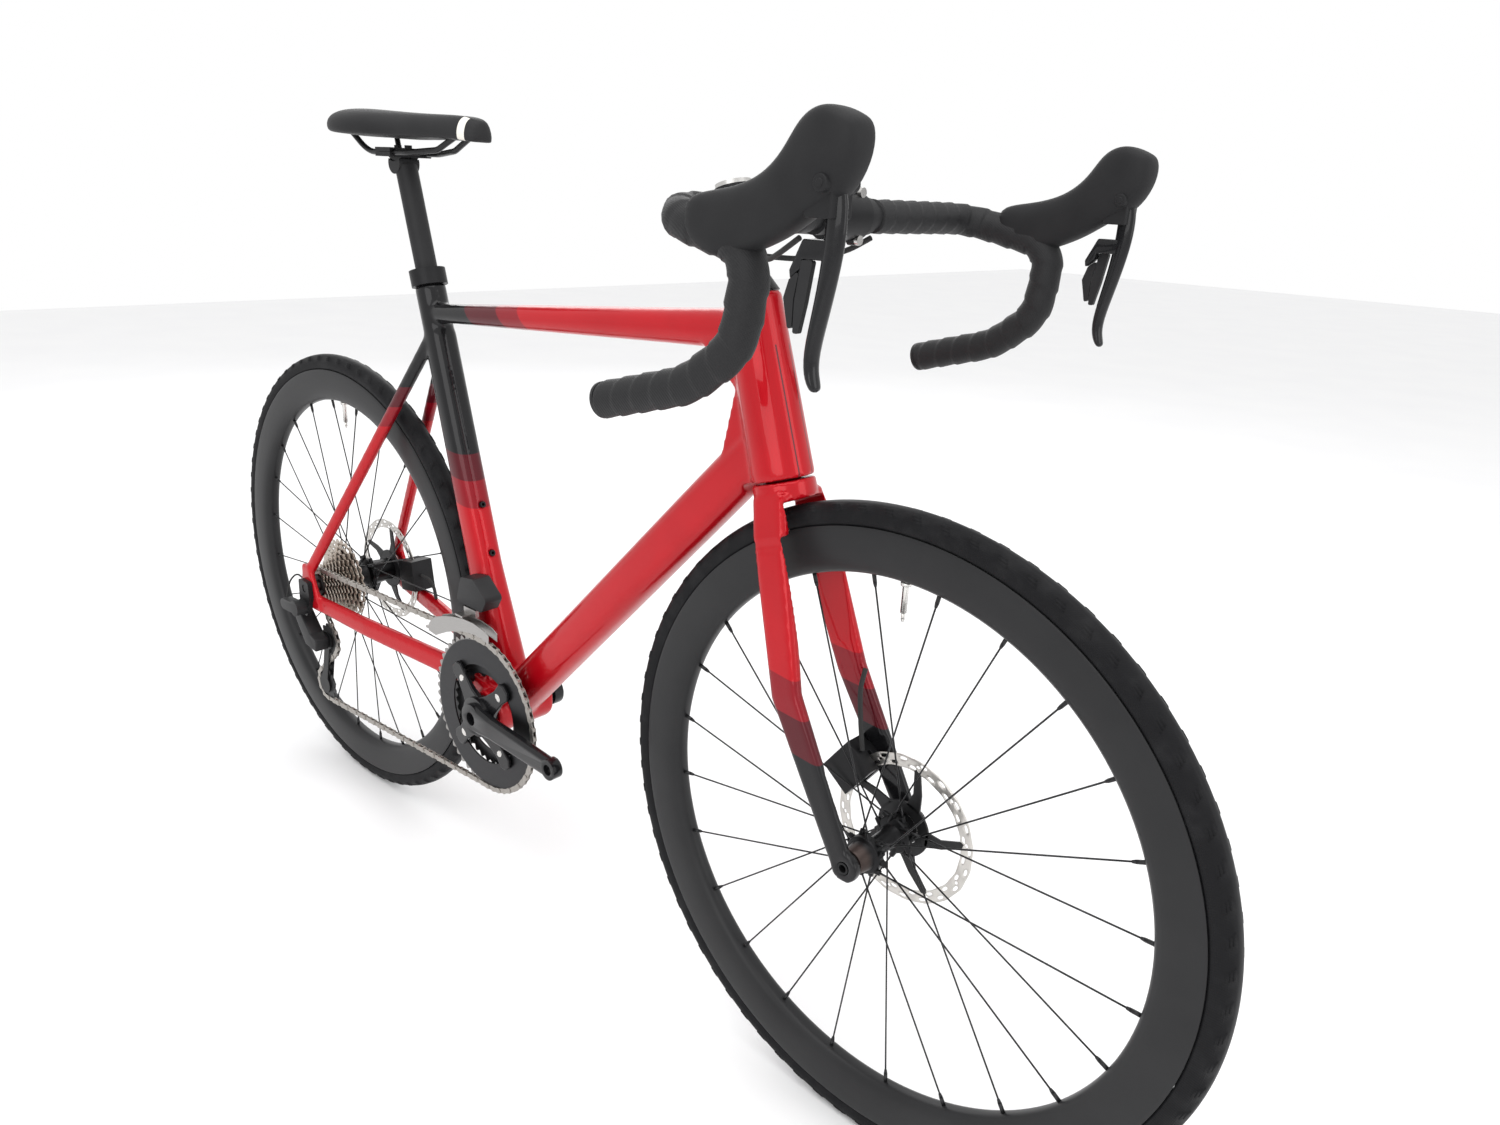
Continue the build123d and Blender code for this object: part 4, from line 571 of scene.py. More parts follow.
def flat_rings(shape, radii, steps):
    """Rings of quads in the XY plane, row by row outwards."""
    bmesh.ops.create_circle(shape, segments=steps, radius=radii[0])
    edges = shape.edges[:]
    for before, radius in zip(radii, radii[1:]):
        made = bmesh.ops.extrude_edge_only(shape, edges=edges)["geom"]
        bmesh.ops.scale(shape, vec=(radius / before, radius / before, 1), verts=verts_of(made))
        edges = edges_of(made)


def upright(shape, wheel_x, y, z=WHEEL_RADIUS):
    """Stands a shape drawn in the XY plane square to a wheel's axle."""
    bmesh.ops.rotate(shape, cent=(0, 0, 0), matrix=Matrix.Rotation(radians(90), 3, "X"), verts=shape.verts)
    bmesh.ops.translate(shape, vec=(wheel_x, y, z), verts=shape.verts)


def rotor(name, wheel_x, y, body):
    shape = bmesh.new()
    flat_rings(shape, ROTOR_ROWS, ROTOR_STEPS)
    slots = []
    for face in shape.faces:
        radius, angle = polar(face.calc_center_median())
        column = int(angle / tau * ROTOR_STEPS)
        row = int((radius - ROTOR_ROWS[0]) / (ROTOR_ROWS[1] - ROTOR_ROWS[0]))
        if (row, column % 6) in ((1, 0), (1, 1), (3, 3), (3, 4)) or (row, column % 12) == (2, 8):
            slots.append(face)
    bmesh.ops.delete(shape, geom=slots, context="FACES")
    for vert in shape.verts:
        radius, angle = polar(vert.co)
        if radius > ROTOR_ROWS[-1] - 0.0005:
            vert.co *= 1 - 0.011 * (0.5 + 0.5 * cos(angle * ROTOR_SCALLOPS))
        elif radius < ROTOR_ROWS[0] + 0.0005:
            vert.co *= 1 + 0.012 * (0.5 + 0.5 * cos(angle * ROTOR_SCALLOPS))
    upright(shape, wheel_x, y)
    band = new_piece(name + "_band", close_mesh(shape, name), rotor_steel)
    wall = band.modifiers.new("wall", "SOLIDIFY")
    wall.thickness, wall.offset = ROTOR_THICKNESS, 0
    subdivide(band, 1)
    settle(band, body, name)

    shape = bmesh.new()
    flat_rings(shape, (0.0172, 0.0240, 0.0300), 60)
    for number in range(ROTOR_ARMS):
        turn_by = Matrix.Rotation(tau * number / ROTOR_ARMS, 3, "Z")
        arm = [turn_by @ Vector(point) for point in
               ((0.0260, -0.0095, 0), (0.0460, -0.0030, 0), (0.0670, 0.0080, 0), (0.0690, 0.0130, 0),
                (0.0660, 0.0150, 0), (0.0430, 0.0060, 0), (0.0270, 0.0075, 0))]
        shape.faces.new([shape.verts.new(point) for point in arm])
    upright(shape, wheel_x, y)
    for face in shape.faces:
        if face.normal.y < 0:
            face.normal_flip()
    spider = new_piece(name + "_spider", as_mesh(shape, name + "_spider"), spider_black)
    wall = spider.modifiers.new("wall", "SOLIDIFY")
    wall.thickness, wall.offset = ROTOR_THICKNESS + 0.0006, 0
    soften(spider, 0.0003)
    settle(spider, body)

    shape = bmesh.new()
    for number in range(ROTOR_ARMS):
        turn_by = Matrix.Rotation(tau * number / ROTOR_ARMS, 3, "Z")
        spot, half = turn_by @ Vector((0.0668, 0.0118, 0)), Vector((0, 0, RIVET_HALF))
        round_bar(shape, spot - half, spot + half, 0.0021, 0.0021, 12)
    round_bar(shape, (0, 0, -0.0012), (0, 0, 0.0040), 0.0170, 0.0165, 40)
    round_bar(shape, (0, 0, 0.0040), (0, 0, 0.0052), 0.0120, 0.0115, 32)
    upright(shape, wheel_x, y)
    rivets = new_piece(name + "_rivets", close_mesh(shape, name), nickel)
    settle(rivets, body)


rotor("front_rotor", FRONT_X, 0.0395, "front_wheel")
rotor("rear_rotor", REAR_X, 0.0557, "rear_wheel")


# ---- chain ----
# A narrow twelve-speed chain, nickel plated: inner and outer plates in turn, with pins and rollers,
# over the big chainring, one small sprocket and the two pulleys.
LINK_PITCH = 0.0127
CHAIN_REAR_Y, CHAIN_FRONT_Y = -0.05835, -0.047
REAR_AXLE = (REAR_X, WHEEL_RADIUS)
CRANK_AXLE = (-0.0976, 0.269)
GUIDE = (REAR_X + 0.0115, WHEEL_RADIUS - 0.087)
TENSION = (REAR_X - 0.0085, WHEEL_RADIUS - 0.167)
FLAT_RUN = 0.020


def pitch_radius(teeth):
    return LINK_PITCH / (2 * sin(pi / teeth))


COG_R, RING_R, PULLEY_R = pitch_radius(12), pitch_radius(52), pitch_radius(12)


def tangent(start, end, reach, sign):
    """The direction from the first centre to a tangent's point, on the side that sign gives."""
    along = Vector(end) - Vector(start)
    share = reach / along.length
    along.normalize()
    side = sign * (1 - share ** 2) ** 0.5
    return Vector((share * along.x - side * along.y, share * along.y + side * along.x))


TOP_NORMAL = tangent(REAR_AXLE, CRANK_AXLE, COG_R - RING_R, 1)
LOW_NORMAL = tangent(TENSION, CRANK_AXLE, PULLEY_R - RING_R, -1)
CAGE_NORMAL = tangent(GUIDE, TENSION, 2 * PULLEY_R, 1)
COG_NORMAL = tangent(REAR_AXLE, GUIDE, COG_R + PULLEY_R, -1)


def arc_points(centre, radius, first, last, y, steps=24):
    """Points round a wheel from one direction to another, anticlockwise in (x, z)."""
    start = Vector((1, 0)).angle_signed(first, 0.0) * -1
    sweep = (Vector((1, 0)).angle_signed(last, 0.0) * -1 - start) % tau
    points = []
    for step in range(steps + 1):
        angle = start + sweep * step / steps
        points.append(Vector((centre[0] + radius * cos(angle), y, centre[1] + radius * sin(angle))))
    return points


def slanted(start, end):
    """A run that stays in each wheel's plane near its ends and crosses over between them."""
    share = FLAT_RUN / (end - start).length
    first, last = start.lerp(end, share), start.lerp(end, 1 - share)
    first.y, last.y = start.y, end.y
    return [first, last]


def even_points(points, pitch):
    """Points at an even pitch along a line, with the pitch eased to fit a whole number of links."""
    lengths = [(after - before).length for before, after in zip(points, points[1:])]
    count = round(sum(lengths) / pitch)
    step = sum(lengths) / count
    spots, travelled, part = [], 0.0, 0
    for number in range(count + 1):
        goal = min(number * step, sum(lengths) - 1e-9)
        while part < len(lengths) - 1 and travelled + lengths[part] < goal:
            travelled += lengths[part]
            part += 1
        spots.append(points[part].lerp(points[part + 1], (goal - travelled) / lengths[part]))
    return spots


PLATE_WAIST, PLATE_THICKNESS, PLATE_END_R = 0.0030, 0.00065, 0.0039
INNER_OFFSET, OUTER_OFFSET = 0.00150, 0.00225


def plate(shape, start, end, side_way, offset):
    """One link plate: two round ends and a waist."""
    run = end - start
    along = run.normalized()
    up = side_way.cross(along).normalized()
    outline = []
    for centre, sign in ((end, 1), (start, -1)):
        for step in range(7):
            angle = radians(-78 + 26 * step)
            outline.append(centre + sign * (along * PLATE_END_R * cos(angle) + up * PLATE_END_R * sin(angle)))
        outline.append((start + end) / 2 + sign * up * PLATE_WAIST)
    low = [shape.verts.new(point + side_way * (offset - PLATE_THICKNESS / 2)) for point in outline]
    face = shape.faces.new(low)
    made = bmesh.ops.extrude_face_region(shape, geom=[face])["geom"]
    bmesh.ops.translate(shape, vec=side_way * PLATE_THICKNESS, verts=verts_of(made))


def links(name, node, points, body, first=0):
    shape = bmesh.new()
    spots = even_points(points, LINK_PITCH)
    side_way = Vector((0, 1, 0))
    for number, (start, end) in enumerate(zip(spots, spots[1:])):
        outer = (number + first) % 2
        for side in (-1, 1):
            plate(shape, start, end, side_way, side * (OUTER_OFFSET if outer else INNER_OFFSET))
        round_bar(shape, start - side_way * 0.00265, start + side_way * 0.00265, 0.0017, 0.0017, 8)
        round_bar(shape, start - side_way * 0.0011, start + side_way * 0.0011, 0.0037, 0.0037, 10)
    piece = new_piece(name, close_mesh(shape, name, smooth=False), chain_nickel)
    settle(piece, body, node)


chain_nickel, place = place_of("chain_nickel")
grime = noise(place, 900.0, 4.0)
patches = between(noise(place, 60.0, 3.0), 0.4, 0.7)
close(chain_nickel, place, Base_Color=blend(grime, rgb(0.20, 0.18, 0.16), rgb(0.52, 0.50, 0.47)), Metallic=1.0,
      Roughness=0.26 + grime * 0.22 + patches * 0.06, Normal=bump(grime, 0.00005, 0.4))


def at(centre, radius, direction, y):
    return Vector((centre[0] + radius * direction.x, y, centre[1] + radius * direction.y))


cog_top = at(REAR_AXLE, COG_R, TOP_NORMAL, CHAIN_REAR_Y)
ring_top = at(CRANK_AXLE, RING_R, TOP_NORMAL, CHAIN_FRONT_Y)
tension_low = at(TENSION, PULLEY_R, LOW_NORMAL, CHAIN_REAR_Y)
ring_low = at(CRANK_AXLE, RING_R, LOW_NORMAL, CHAIN_FRONT_Y)
guide_top = at(GUIDE, PULLEY_R, -COG_NORMAL, CHAIN_REAR_Y)
main_run = [guide_top.lerp(at(REAR_AXLE, COG_R, COG_NORMAL, CHAIN_REAR_Y), 0.02)]
main_run += list(reversed(arc_points(REAR_AXLE, COG_R, TOP_NORMAL, COG_NORMAL, CHAIN_REAR_Y)))
main_run += slanted(cog_top, ring_top)
main_run += list(reversed(arc_points(CRANK_AXLE, RING_R, LOW_NORMAL, TOP_NORMAL, CHAIN_FRONT_Y, 60)))
main_run += list(reversed(slanted(tension_low, ring_low))) + [tension_low.lerp(ring_low, 0.01)]
links("chain_links", "chain", main_run, "frame")
cage_run = list(reversed(arc_points(GUIDE, PULLEY_R, CAGE_NORMAL, -COG_NORMAL, CHAIN_REAR_Y)))
cage_run += arc_points(TENSION, PULLEY_R, -CAGE_NORMAL, LOW_NORMAL, CHAIN_REAR_Y)
links("chain_cage_links", "chain_cage_run", cage_run, "derailleur_cage", 1)

# ---- cassette ----
# Twelve steel sprockets, nickel plated and a little brown, on dark spacers; the lock ring is ribbed.
COGS = (11, 12, 13, 14, 15, 16, 17, 19, 21, 24, 27, 30)
COG_STEP = 0.00365
COG_FIRST_Y = -0.062
COG_THICKNESS = 0.0016
COG_BORE = 0.0172
HOLED_FROM = 19  # teeth


def toothed(shape, teeth, root_radius, tip_radius, bore, y, thick, centre, holes=0):
    """A wheel with rounded teeth, drawn flat and then stood square to the axle."""
    flat = bmesh.new()
    steps = teeth * 6
    flat_rings(flat, (bore, (bore + root_radius) / 2, root_radius - 0.0012, root_radius), steps)
    rim = [vert for vert in flat.verts if vert.co.length > root_radius - 0.0003]
    for vert in rim:
        _, angle = polar(vert.co)
        wave = 0.5 - 0.5 * cos(angle * teeth)
        vert.co *= (root_radius + (tip_radius - root_radius) * wave ** 0.8) / root_radius
    if holes:
        gone = []
        for face in flat.faces:
            radius, angle = polar(face.calc_center_median())
            middle_row = (bore + root_radius) / 2 < radius < root_radius - 0.0012
            if middle_row and (angle / tau * holes) % 1 < 0.55:
                gone.append(face)
        bmesh.ops.delete(flat, geom=gone, context="FACES")
    made = bmesh.ops.extrude_face_region(flat, geom=flat.faces[:])["geom"]
    bmesh.ops.translate(flat, vec=(0, 0, thick), verts=verts_of(made))
    bmesh.ops.translate(flat, vec=(0, 0, -thick / 2), verts=flat.verts)
    upright(flat, centre[0], y, centre[1])
    mesh = as_mesh(flat, "part")
    shape.from_mesh(mesh)
    bpy.data.meshes.remove(mesh)


sprocket_nickel, place = place_of("sprocket_nickel")
rub = noise(place, 420.0, 4.0)
tint = noise(place, 45.0, 2.0)
close(sprocket_nickel, place, Metallic=1.0, Roughness=0.30 + rub * 0.16,
      Base_Color=blend(tint, rgb(0.36, 0.31, 0.26), rgb(0.55, 0.50, 0.45)), Normal=bump(rub, 0.00004, 0.4))
shape = bmesh.new()
for number, teeth in enumerate(COGS):
    tip = pitch_radius(teeth) + 0.0022
    toothed(shape, teeth, pitch_radius(teeth) - 0.0036, tip, max(COG_BORE, pitch_radius(teeth) - 0.020),
            COG_FIRST_Y + COG_STEP * number, COG_THICKNESS, REAR_AXLE, holes=0 if teeth < HOLED_FROM else 8)
cogs = new_piece("cassette_sprockets", close_mesh(shape, "cassette_sprockets", smooth=False), sprocket_nickel)
settle(cogs, "cassette", "cassette")
shape = bmesh.new()
lock_y = COG_FIRST_Y - 0.003
last_y = COG_FIRST_Y + COG_STEP * (len(COGS) - 1)
barrels = [(lock_y, lock_y + 0.0022, 0.0165, 48), (lock_y + 0.0015, last_y, 0.0160, 48)]
for number, teeth in enumerate(COGS[:-1]):
    low = COG_FIRST_Y + COG_STEP * number + COG_THICKNESS / 2
    barrels.append((low, low + COG_STEP - COG_THICKNESS, max(COG_BORE, pitch_radius(teeth) - 0.0125), 40))
for low, high, radius, sides in barrels:
    round_bar(shape, (REAR_X, low, WHEEL_RADIUS), (REAR_X, high, WHEEL_RADIUS), radius, radius, sides)
spacers = new_piece("cassette_spacers", close_mesh(shape, "cassette_spacers"), spider_black)
spacers.modifiers.new("edge", "EDGE_SPLIT")
settle(spacers, "cassette")

# ---- chainrings and pulleys ----
# Two aluminium rings, dark grey, with shaped teeth and polished flanks, on four bolts;
# the derailleur's two pulleys are black nylon with steel bearings.
BOLT_ANGLES = [radians(45 + 90 * number) for number in range(4)]
BOLT_CIRCLE = 0.055
SMALL_RING_Y = -0.0395
RING_THICKNESS = 0.0020


def round_crank(radius, angle, y):
    """A point round the crank's axle."""
    return Vector((CRANK_AXLE[0] + radius * cos(angle), y, CRANK_AXLE[1] + radius * sin(angle)))


ring_grey, place = place_of("ring_grey")
x, y, z = axes(place)
across = x - CRANK_AXLE[0]
out = place.math("SQRT", across * across + (z - CRANK_AXLE[1]) * (z - CRANK_AXLE[1]))
rub = noise(place, 300.0, 4.0)
worn = between(out, RING_R - 0.0045, RING_R - 0.0020)
close(ring_grey, place, Metallic=0.9, Roughness=0.30 + rub * 0.12, Normal=bump(rub, 0.00004, 0.3),
      Base_Color=blend(worn, rgb(0.030, 0.030, 0.032), rgb(0.30, 0.29, 0.28)))
shape = bmesh.new()
for teeth, bore, ring_y in ((52, 0.068, CHAIN_FRONT_Y), (36, 0.054, SMALL_RING_Y)):
    toothed(shape, teeth, pitch_radius(teeth) - 0.0036, pitch_radius(teeth) + 0.0024, bore, ring_y,
            RING_THICKNESS, CRANK_AXLE)
for angle in BOLT_ANGLES:
    round_bar(shape, round_crank(BOLT_CIRCLE, angle, -0.0477), round_crank(BOLT_CIRCLE, angle, -0.0388),
              0.0085, 0.0085, 24)
for angle in BOLT_ANGLES:
    round_bar(shape, round_crank(0.058, angle, CHAIN_FRONT_Y), round_crank(0.074, angle, CHAIN_FRONT_Y),
              0.0010, 0.0010, 8)
rings = new_piece("chainring_pair", close_mesh(shape, "chainring_pair", smooth=False), ring_grey)
settle(rings, "crankset", "chainrings")
shape = bmesh.new()
for angle in BOLT_ANGLES:
    for low, high, low_r, high_r, sides in ((-0.0535, -0.0376, 0.0040, 0.0040, 16),
                                            (-0.0533, -0.0520, 0.0058, 0.0060, 24)):
        round_bar(shape, round_crank(BOLT_CIRCLE, angle, low), round_crank(BOLT_CIRCLE, angle, high),
                  low_r, high_r, sides)
bolts = new_piece("chainring_bolts", close_mesh(shape, "chainring_bolts"), nickel)
bolts.modifiers.new("edge", "EDGE_SPLIT")
settle(bolts, "crankset")

pulley_nylon = surface("pulley_nylon", (900.0, 3.0), (0.012, 0.012, 0.013), (0.028, 0.028, 0.029),
                       (0.45, 0.15), (0.00005, 0.4))
for name, node, centre in (("guide_wheel", "guide_pulley", GUIDE), ("tension_wheel", "tension_pulley", TENSION)):
    shape = bmesh.new()
    toothed(shape, 12, PULLEY_R - 0.0040, PULLEY_R + 0.0016, 0.0070, CHAIN_REAR_Y, 0.0018, centre)
    round_bar(shape, (centre[0], CHAIN_REAR_Y - 0.0026, centre[1]),
              (centre[0], CHAIN_REAR_Y + 0.0026, centre[1]), 0.0080, 0.0080, 32)
    wheel = new_piece(name, close_mesh(shape, name, smooth=False), pulley_nylon)
    settle(wheel, node, node)


# ---- bar, tape and plugs ----
# The bar is wrapped in ribbed black tape whose edges overlap in a spiral; a rubber plug closes each end.
BAR_CENTRE = Vector((0.3941, 0, 0.9159))
BAR_ROUTE = [(0, 0, 0), (0, 0.208, 0), (0.093, 0.211, -0.020), (0.084, 0.213, -0.086),
             (0.039, 0.216, -0.119), (-0.048, 0.220, -0.143)]
BAR_CORNERS = (0.034, 0.027, 0.045, 0.090)
TAPE_R = 0.0152
WRAP_PITCH = 0.021
WRAP_RISE = 0.0012
TAPE_FROM = 0.046  # along the bar from its middle
TAPE_STEP = 0.0018


def rounded_route(corners, radii, side):
    """Points along a line whose corners are rounded to the given radii."""
    corners = [BAR_CENTRE + Vector((x, side * y, z)) for x, y, z in corners]
    points = [corners[0]]
    for number, radius in enumerate(radii):
        before, corner, after = corners[number:number + 3]
        back, ahead = (before - corner).normalized(), (after - corner).normalized()
        half = back.angle(ahead) / 2
        cut = radius / (sin(half) / cos(half))
        centre = corner + (back + ahead).normalized() * (radius / sin(half))
        start, end = corner + back * cut - centre, corner + ahead * cut - centre
        for step in range(13):
            points.append(centre + start.lerp(end, step / 12).normalized() * radius)
    return points + [corners[-1]]


def tube_along(shape, points, reach, segments=20):
    """A tube through points; reach(distance, angle) gives its radius at each spot."""
    rings, travelled = [], 0.0
    side_way = None
    for number, point in enumerate(points):
        run = (points[min(number + 1, len(points) - 1)] - points[max(number - 1, 0)]).normalized()
        side_way = side_way or run.orthogonal().normalized()
        side_way = (side_way - run * side_way.dot(run)).normalized()
        other = run.cross(side_way)
        if number:
            travelled += (point - points[number - 1]).length
        ring = []
        for step in range(segments):
            angle = tau * step / segments
            out = side_way * cos(angle) + other * sin(angle)
            ring.append(shape.verts.new(point + out * reach(travelled, angle)))
        rings.append(ring)
    for ring, following in zip(rings, rings[1:]):
        for step in range(segments):
            after = (step + 1) % segments
            shape.faces.new((ring[step], ring[after], following[after], following[step]))
    shape.faces.new(rings[0])
    shape.faces.new(list(reversed(rings[-1])))


def spiral(distance, angle):
    """The tape's radius: each turn rises slowly and drops sharply at its edge."""
    share = (distance / WRAP_PITCH + angle / tau) % 1
    return TAPE_R - WRAP_RISE + WRAP_RISE * min(share / 0.85, (1 - share) / 0.15)


bar_tape, place = place_of("bar_tape")
x, y, z = axes(place)
ribs = place.math("SINE", (x * 0.6 + y + z * 0.8) * 3000.0)
grain = noise(place, 700.0, 3.0)
close(bar_tape, place, Base_Color=blend(grain, rgb(0.010, 0.010, 0.011), rgb(0.022, 0.022, 0.023)),
      Roughness=0.46 + grain * 0.14, Specular_IOR_Level=0.22, Normal=bump(ribs * 0.5 + grain, 0.00018, 0.7))
rubber_black = surface("rubber_black", (1100.0, 3.0), (0.010, 0.010, 0.011), (0.019, 0.019, 0.020),
                       (0.52, 0.12), (0.00008, 0.5), clouds=(30.0, 3.0), Specular_IOR_Level=0.18)
shape = bmesh.new()
for side in (-1, 1):
    points = even_points(rounded_route(BAR_ROUTE, BAR_CORNERS, side), TAPE_STEP)
    tube_along(shape, points[round(TAPE_FROM / TAPE_STEP):], spiral)
tape = new_piece("tape", close_mesh(shape, "tape"), bar_tape)
settle(tape, "steering", "bar_tape")


# ---- lever hoods ----
# Moulded rubber covers with a waisted grip and a tall rounded horn, over the brake and shift housings.
# Each is one closed form, crowned across its top, with a lip where the lever comes out.
HOOD_Y = 0.212
HOOD_SECTIONS = [  # top x and z, bottom x and z from the bar's middle, half width
    ((0.034, 0.013), (0.034, -0.012), 0.0150), ((0.056, 0.017), (0.050, -0.026), 0.0160),
    ((0.077, 0.020), (0.072, -0.029), 0.0165), ((0.100, 0.027), (0.098, -0.021), 0.0165),
    ((0.117, 0.039), (0.124, -0.010), 0.0175), ((0.126, 0.051), (0.147, 0.006), 0.0182),
    ((0.131, 0.060), (0.168, 0.014), 0.0182), ((0.139, 0.067), (0.181, 0.036), 0.0178),
    ((0.150, 0.070), (0.182, 0.054), 0.0165), ((0.160, 0.069), (0.177, 0.063), 0.0120)]


def loft(shape, rings):
    """Closes a row of rings of vertices into one skin with flat ends."""
    for ring, following in zip(rings, rings[1:]):
        count = len(ring)
        for step in range(count):
            after = (step + 1) % count
            shape.faces.new((ring[step], ring[after], following[after], following[step]))
    shape.faces.new(rings[0])
    shape.faces.new(list(reversed(rings[-1])))


def hood(shape, side):
    rings = []
    for top, bottom, wide in HOOD_SECTIONS:
        top = BAR_CENTRE + Vector((top[0], side * HOOD_Y, top[1]))
        bottom = BAR_CENTRE + Vector((bottom[0], side * HOOD_Y, bottom[1]))
        middle, up = (top + bottom) / 2, (top - bottom) / 2
        ring = []
        for step in range(20):
            turn = tau * step / 20
            over = abs(sin(turn)) ** 0.82 * (1 if sin(turn) > 0 else -1)
            out = abs(cos(turn)) ** 0.72 * (1 if cos(turn) > 0 else -1)
            ring.append(shape.verts.new(middle + up * over + Vector((0, wide * out, 0))))
        rings.append(ring)
    loft(shape, rings)


shape = bmesh.new()
for side in (-1, 1):
    hood(shape, side)
hoods = new_piece("hood_covers", close_mesh(shape, "hood_covers"), rubber_black)
subdivide(hoods, 2)
settle(hoods, "steering", "lever_hoods")

shape = bmesh.new()
for side in (-1, 1):
    pivot = BAR_CENTRE + Vector((0.160, side * HOOD_Y, 0.024))
    for low, high, radius in ((-0.0186, 0.0186, 0.0030), (-0.0178, 0.0178, 0.0056)):
        round_bar(shape, pivot + Vector((0, low, 0)), pivot + Vector((0, high, 0)), radius, radius, 24)
    block = bmesh.ops.create_cube(shape, size=1.0)["verts"]
    bmesh.ops.scale(shape, vec=(0.022, 0.022, 0.020), verts=block)
    bmesh.ops.translate(shape, vec=pivot + Vector((-0.006, 0, -0.011)), verts=block)
housings = new_piece("lever_housings", close_mesh(shape, "lever_housings"), rubber_black)
soften(housings, 0.0012, 3, even=True)
settle(housings, "steering", "lever_brackets")


# ---- saddle ----
# A short padded saddle: black synthetic cover over foam on a plastic shell, a long relief channel,
# a pale band near the nose, and steel rails in the post's clamp.
pad_low, pad_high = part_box("saddle_pad")
SADDLE_SECTIONS = [  # share of the length from the tail, half width, crown height, edge drop
    (0.00, 0.030, 0.0060, 0.0200), (0.03, 0.052, 0.0020, 0.0250), (0.12, 0.0700, 0.0000, 0.0300),
    (0.26, 0.0725, 0.0008, 0.0310), (0.40, 0.0590, 0.0030, 0.0290), (0.54, 0.0400, 0.0050, 0.0270),
    (0.70, 0.0275, 0.0065, 0.0260), (0.85, 0.0230, 0.0075, 0.0255), (0.95, 0.0195, 0.0100, 0.0250),
    (1.00, 0.0120, 0.0150, 0.0230)]


def saddle_section(share, half, crown, drop):
    """One ring across the saddle: a crowned top with a channel, rounded edges and a tucked skirt."""
    x = pad_low.x + share * (pad_high.x - pad_low.x)
    top = pad_high.z - crown
    channel = 0.0050 * min(1.0, max(0.0, (share - 0.10) / 0.12)) * min(1.0, max(0.0, (0.86 - share) / 0.10))
    profile = [(0.0, -channel), (0.08, -channel * 0.9), (0.17, -0.0002), (0.40, 0.0), (0.66, -0.0025),
               (0.86, -0.0075), (0.97, -0.0140), (1.00, -drop * 0.75), (0.97, -drop), (0.80, -drop * 1.03)]
    right = [(x, half * across, top + down) for across, down in profile]
    return right + [(px, -py, pz) for px, py, pz in reversed(right[1:])]


shape = bmesh.new()
loft(shape, [[shape.verts.new(point) for point in saddle_section(*row)] for row in SADDLE_SECTIONS])
saddle_cover, place = place_of("saddle_cover")
x, y, z = axes(place)
nose = pad_high.x - 0.024
band = between(x, nose - 0.0002, nose + 0.0002) * (1 - between(x, nose + 0.0105, nose + 0.0109))
edge_only = between(place.math("ABSOLUTE", y), 0.0085, 0.0090)
grain = noise(place, 900.0, 4.0)
leather = place.add("ShaderNodeTexVoronoi", {}, {"Vector": place, "Scale": 1300.0})
clouds = noise(place, 22.0, 3.0)
dark = blend(clouds, rgb(0.010, 0.010, 0.011), rgb(0.021, 0.021, 0.022))
close(saddle_cover, place, Base_Color=blend(band * edge_only, dark, rgb(0.72, 0.70, 0.64)),
      Roughness=0.46 + grain * 0.14, Specular_IOR_Level=0.2, Normal=bump(leather * 0.6 + grain * 0.5, 0.00012, 0.5))
pad = new_piece("saddle_cushion", close_mesh(shape, "saddle_cushion"), saddle_cover)
subdivide(pad, 3)
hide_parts("saddle_pad")
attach(pad, "saddle")

shape = bmesh.new()
rings = []
BASE_PROFILE = [(-1.0, 0.0010), (-0.98, 0.0040), (0.98, 0.0040), (1.0, 0.0010),
                (0.5, -0.0025), (0.0, -0.0010), (-0.5, -0.0025)]
BASE_SHARE = 0.93  # of the saddle's width
for share, half, crown, drop in SADDLE_SECTIONS[1:-1]:
    x = pad_low.x + share * (pad_high.x - pad_low.x)
    z = pad_high.z - crown - drop
    rings.append([shape.verts.new((x, half * across * BASE_SHARE, z + up)) for across, up in BASE_PROFILE])
loft(shape, rings)
shell = new_piece("saddle_base", close_mesh(shape, "saddle_base"), pulley_nylon)
subdivide(shell, 2)
settle(shell, "saddle", "saddle_shell")

# ---- finishes of the parts that keep their shape ----
# Turned, cast and moulded parts: anodised aluminium, zinc-plated bolts, glossy lever blades,
# matte plastic housings, polished rails, hoses and brake pads.
anodised = surface("anodised_black", (240.0, 4.0), (0.010, 0.010, 0.011), (0.022, 0.022, 0.023),
                   (0.34, 0.14), (0.00005, 0.4), clouds=(30.0, 3.0), Metallic=0.4, Specular_IOR_Level=0.2)
matte_carbon, place = place_of("matte_carbon")
weave = noise(place, 500.0, 2.0, (1, 1, 3))
clouds = noise(place, 18.0, 3.0)
close(matte_carbon, place, Base_Color=blend(clouds, rgb(0.012, 0.012, 0.013), rgb(0.024, 0.024, 0.025)),
      Roughness=0.44 + clouds * 0.10, Specular_IOR_Level=0.2, Normal=bump(weave, 0.00006, 0.4))
gloss_lever = surface("gloss_lever", (400.0, 2.0), (0.005, 0.005, 0.006), (0.010, 0.010, 0.011),
                      (0.20, 0.06), (0.00003, 0.3), Coat_Weight=0.3, Coat_Roughness=0.05, Specular_IOR_Level=0.15)
moulded_plastic = surface("moulded_plastic", (1200.0, 3.0), (0.012, 0.012, 0.013), (0.022, 0.022, 0.023),
                          (0.36, 0.16), (0.00005, 0.5), clouds=(40.0, 3.0), Specular_IOR_Level=0.22)
surface("zinc_bolt", (800.0, 3.0), (0.45, 0.44, 0.42), (0.62, 0.61, 0.60),
        (0.26, 0.14), (0.00004, 0.4), Metallic=1.0)
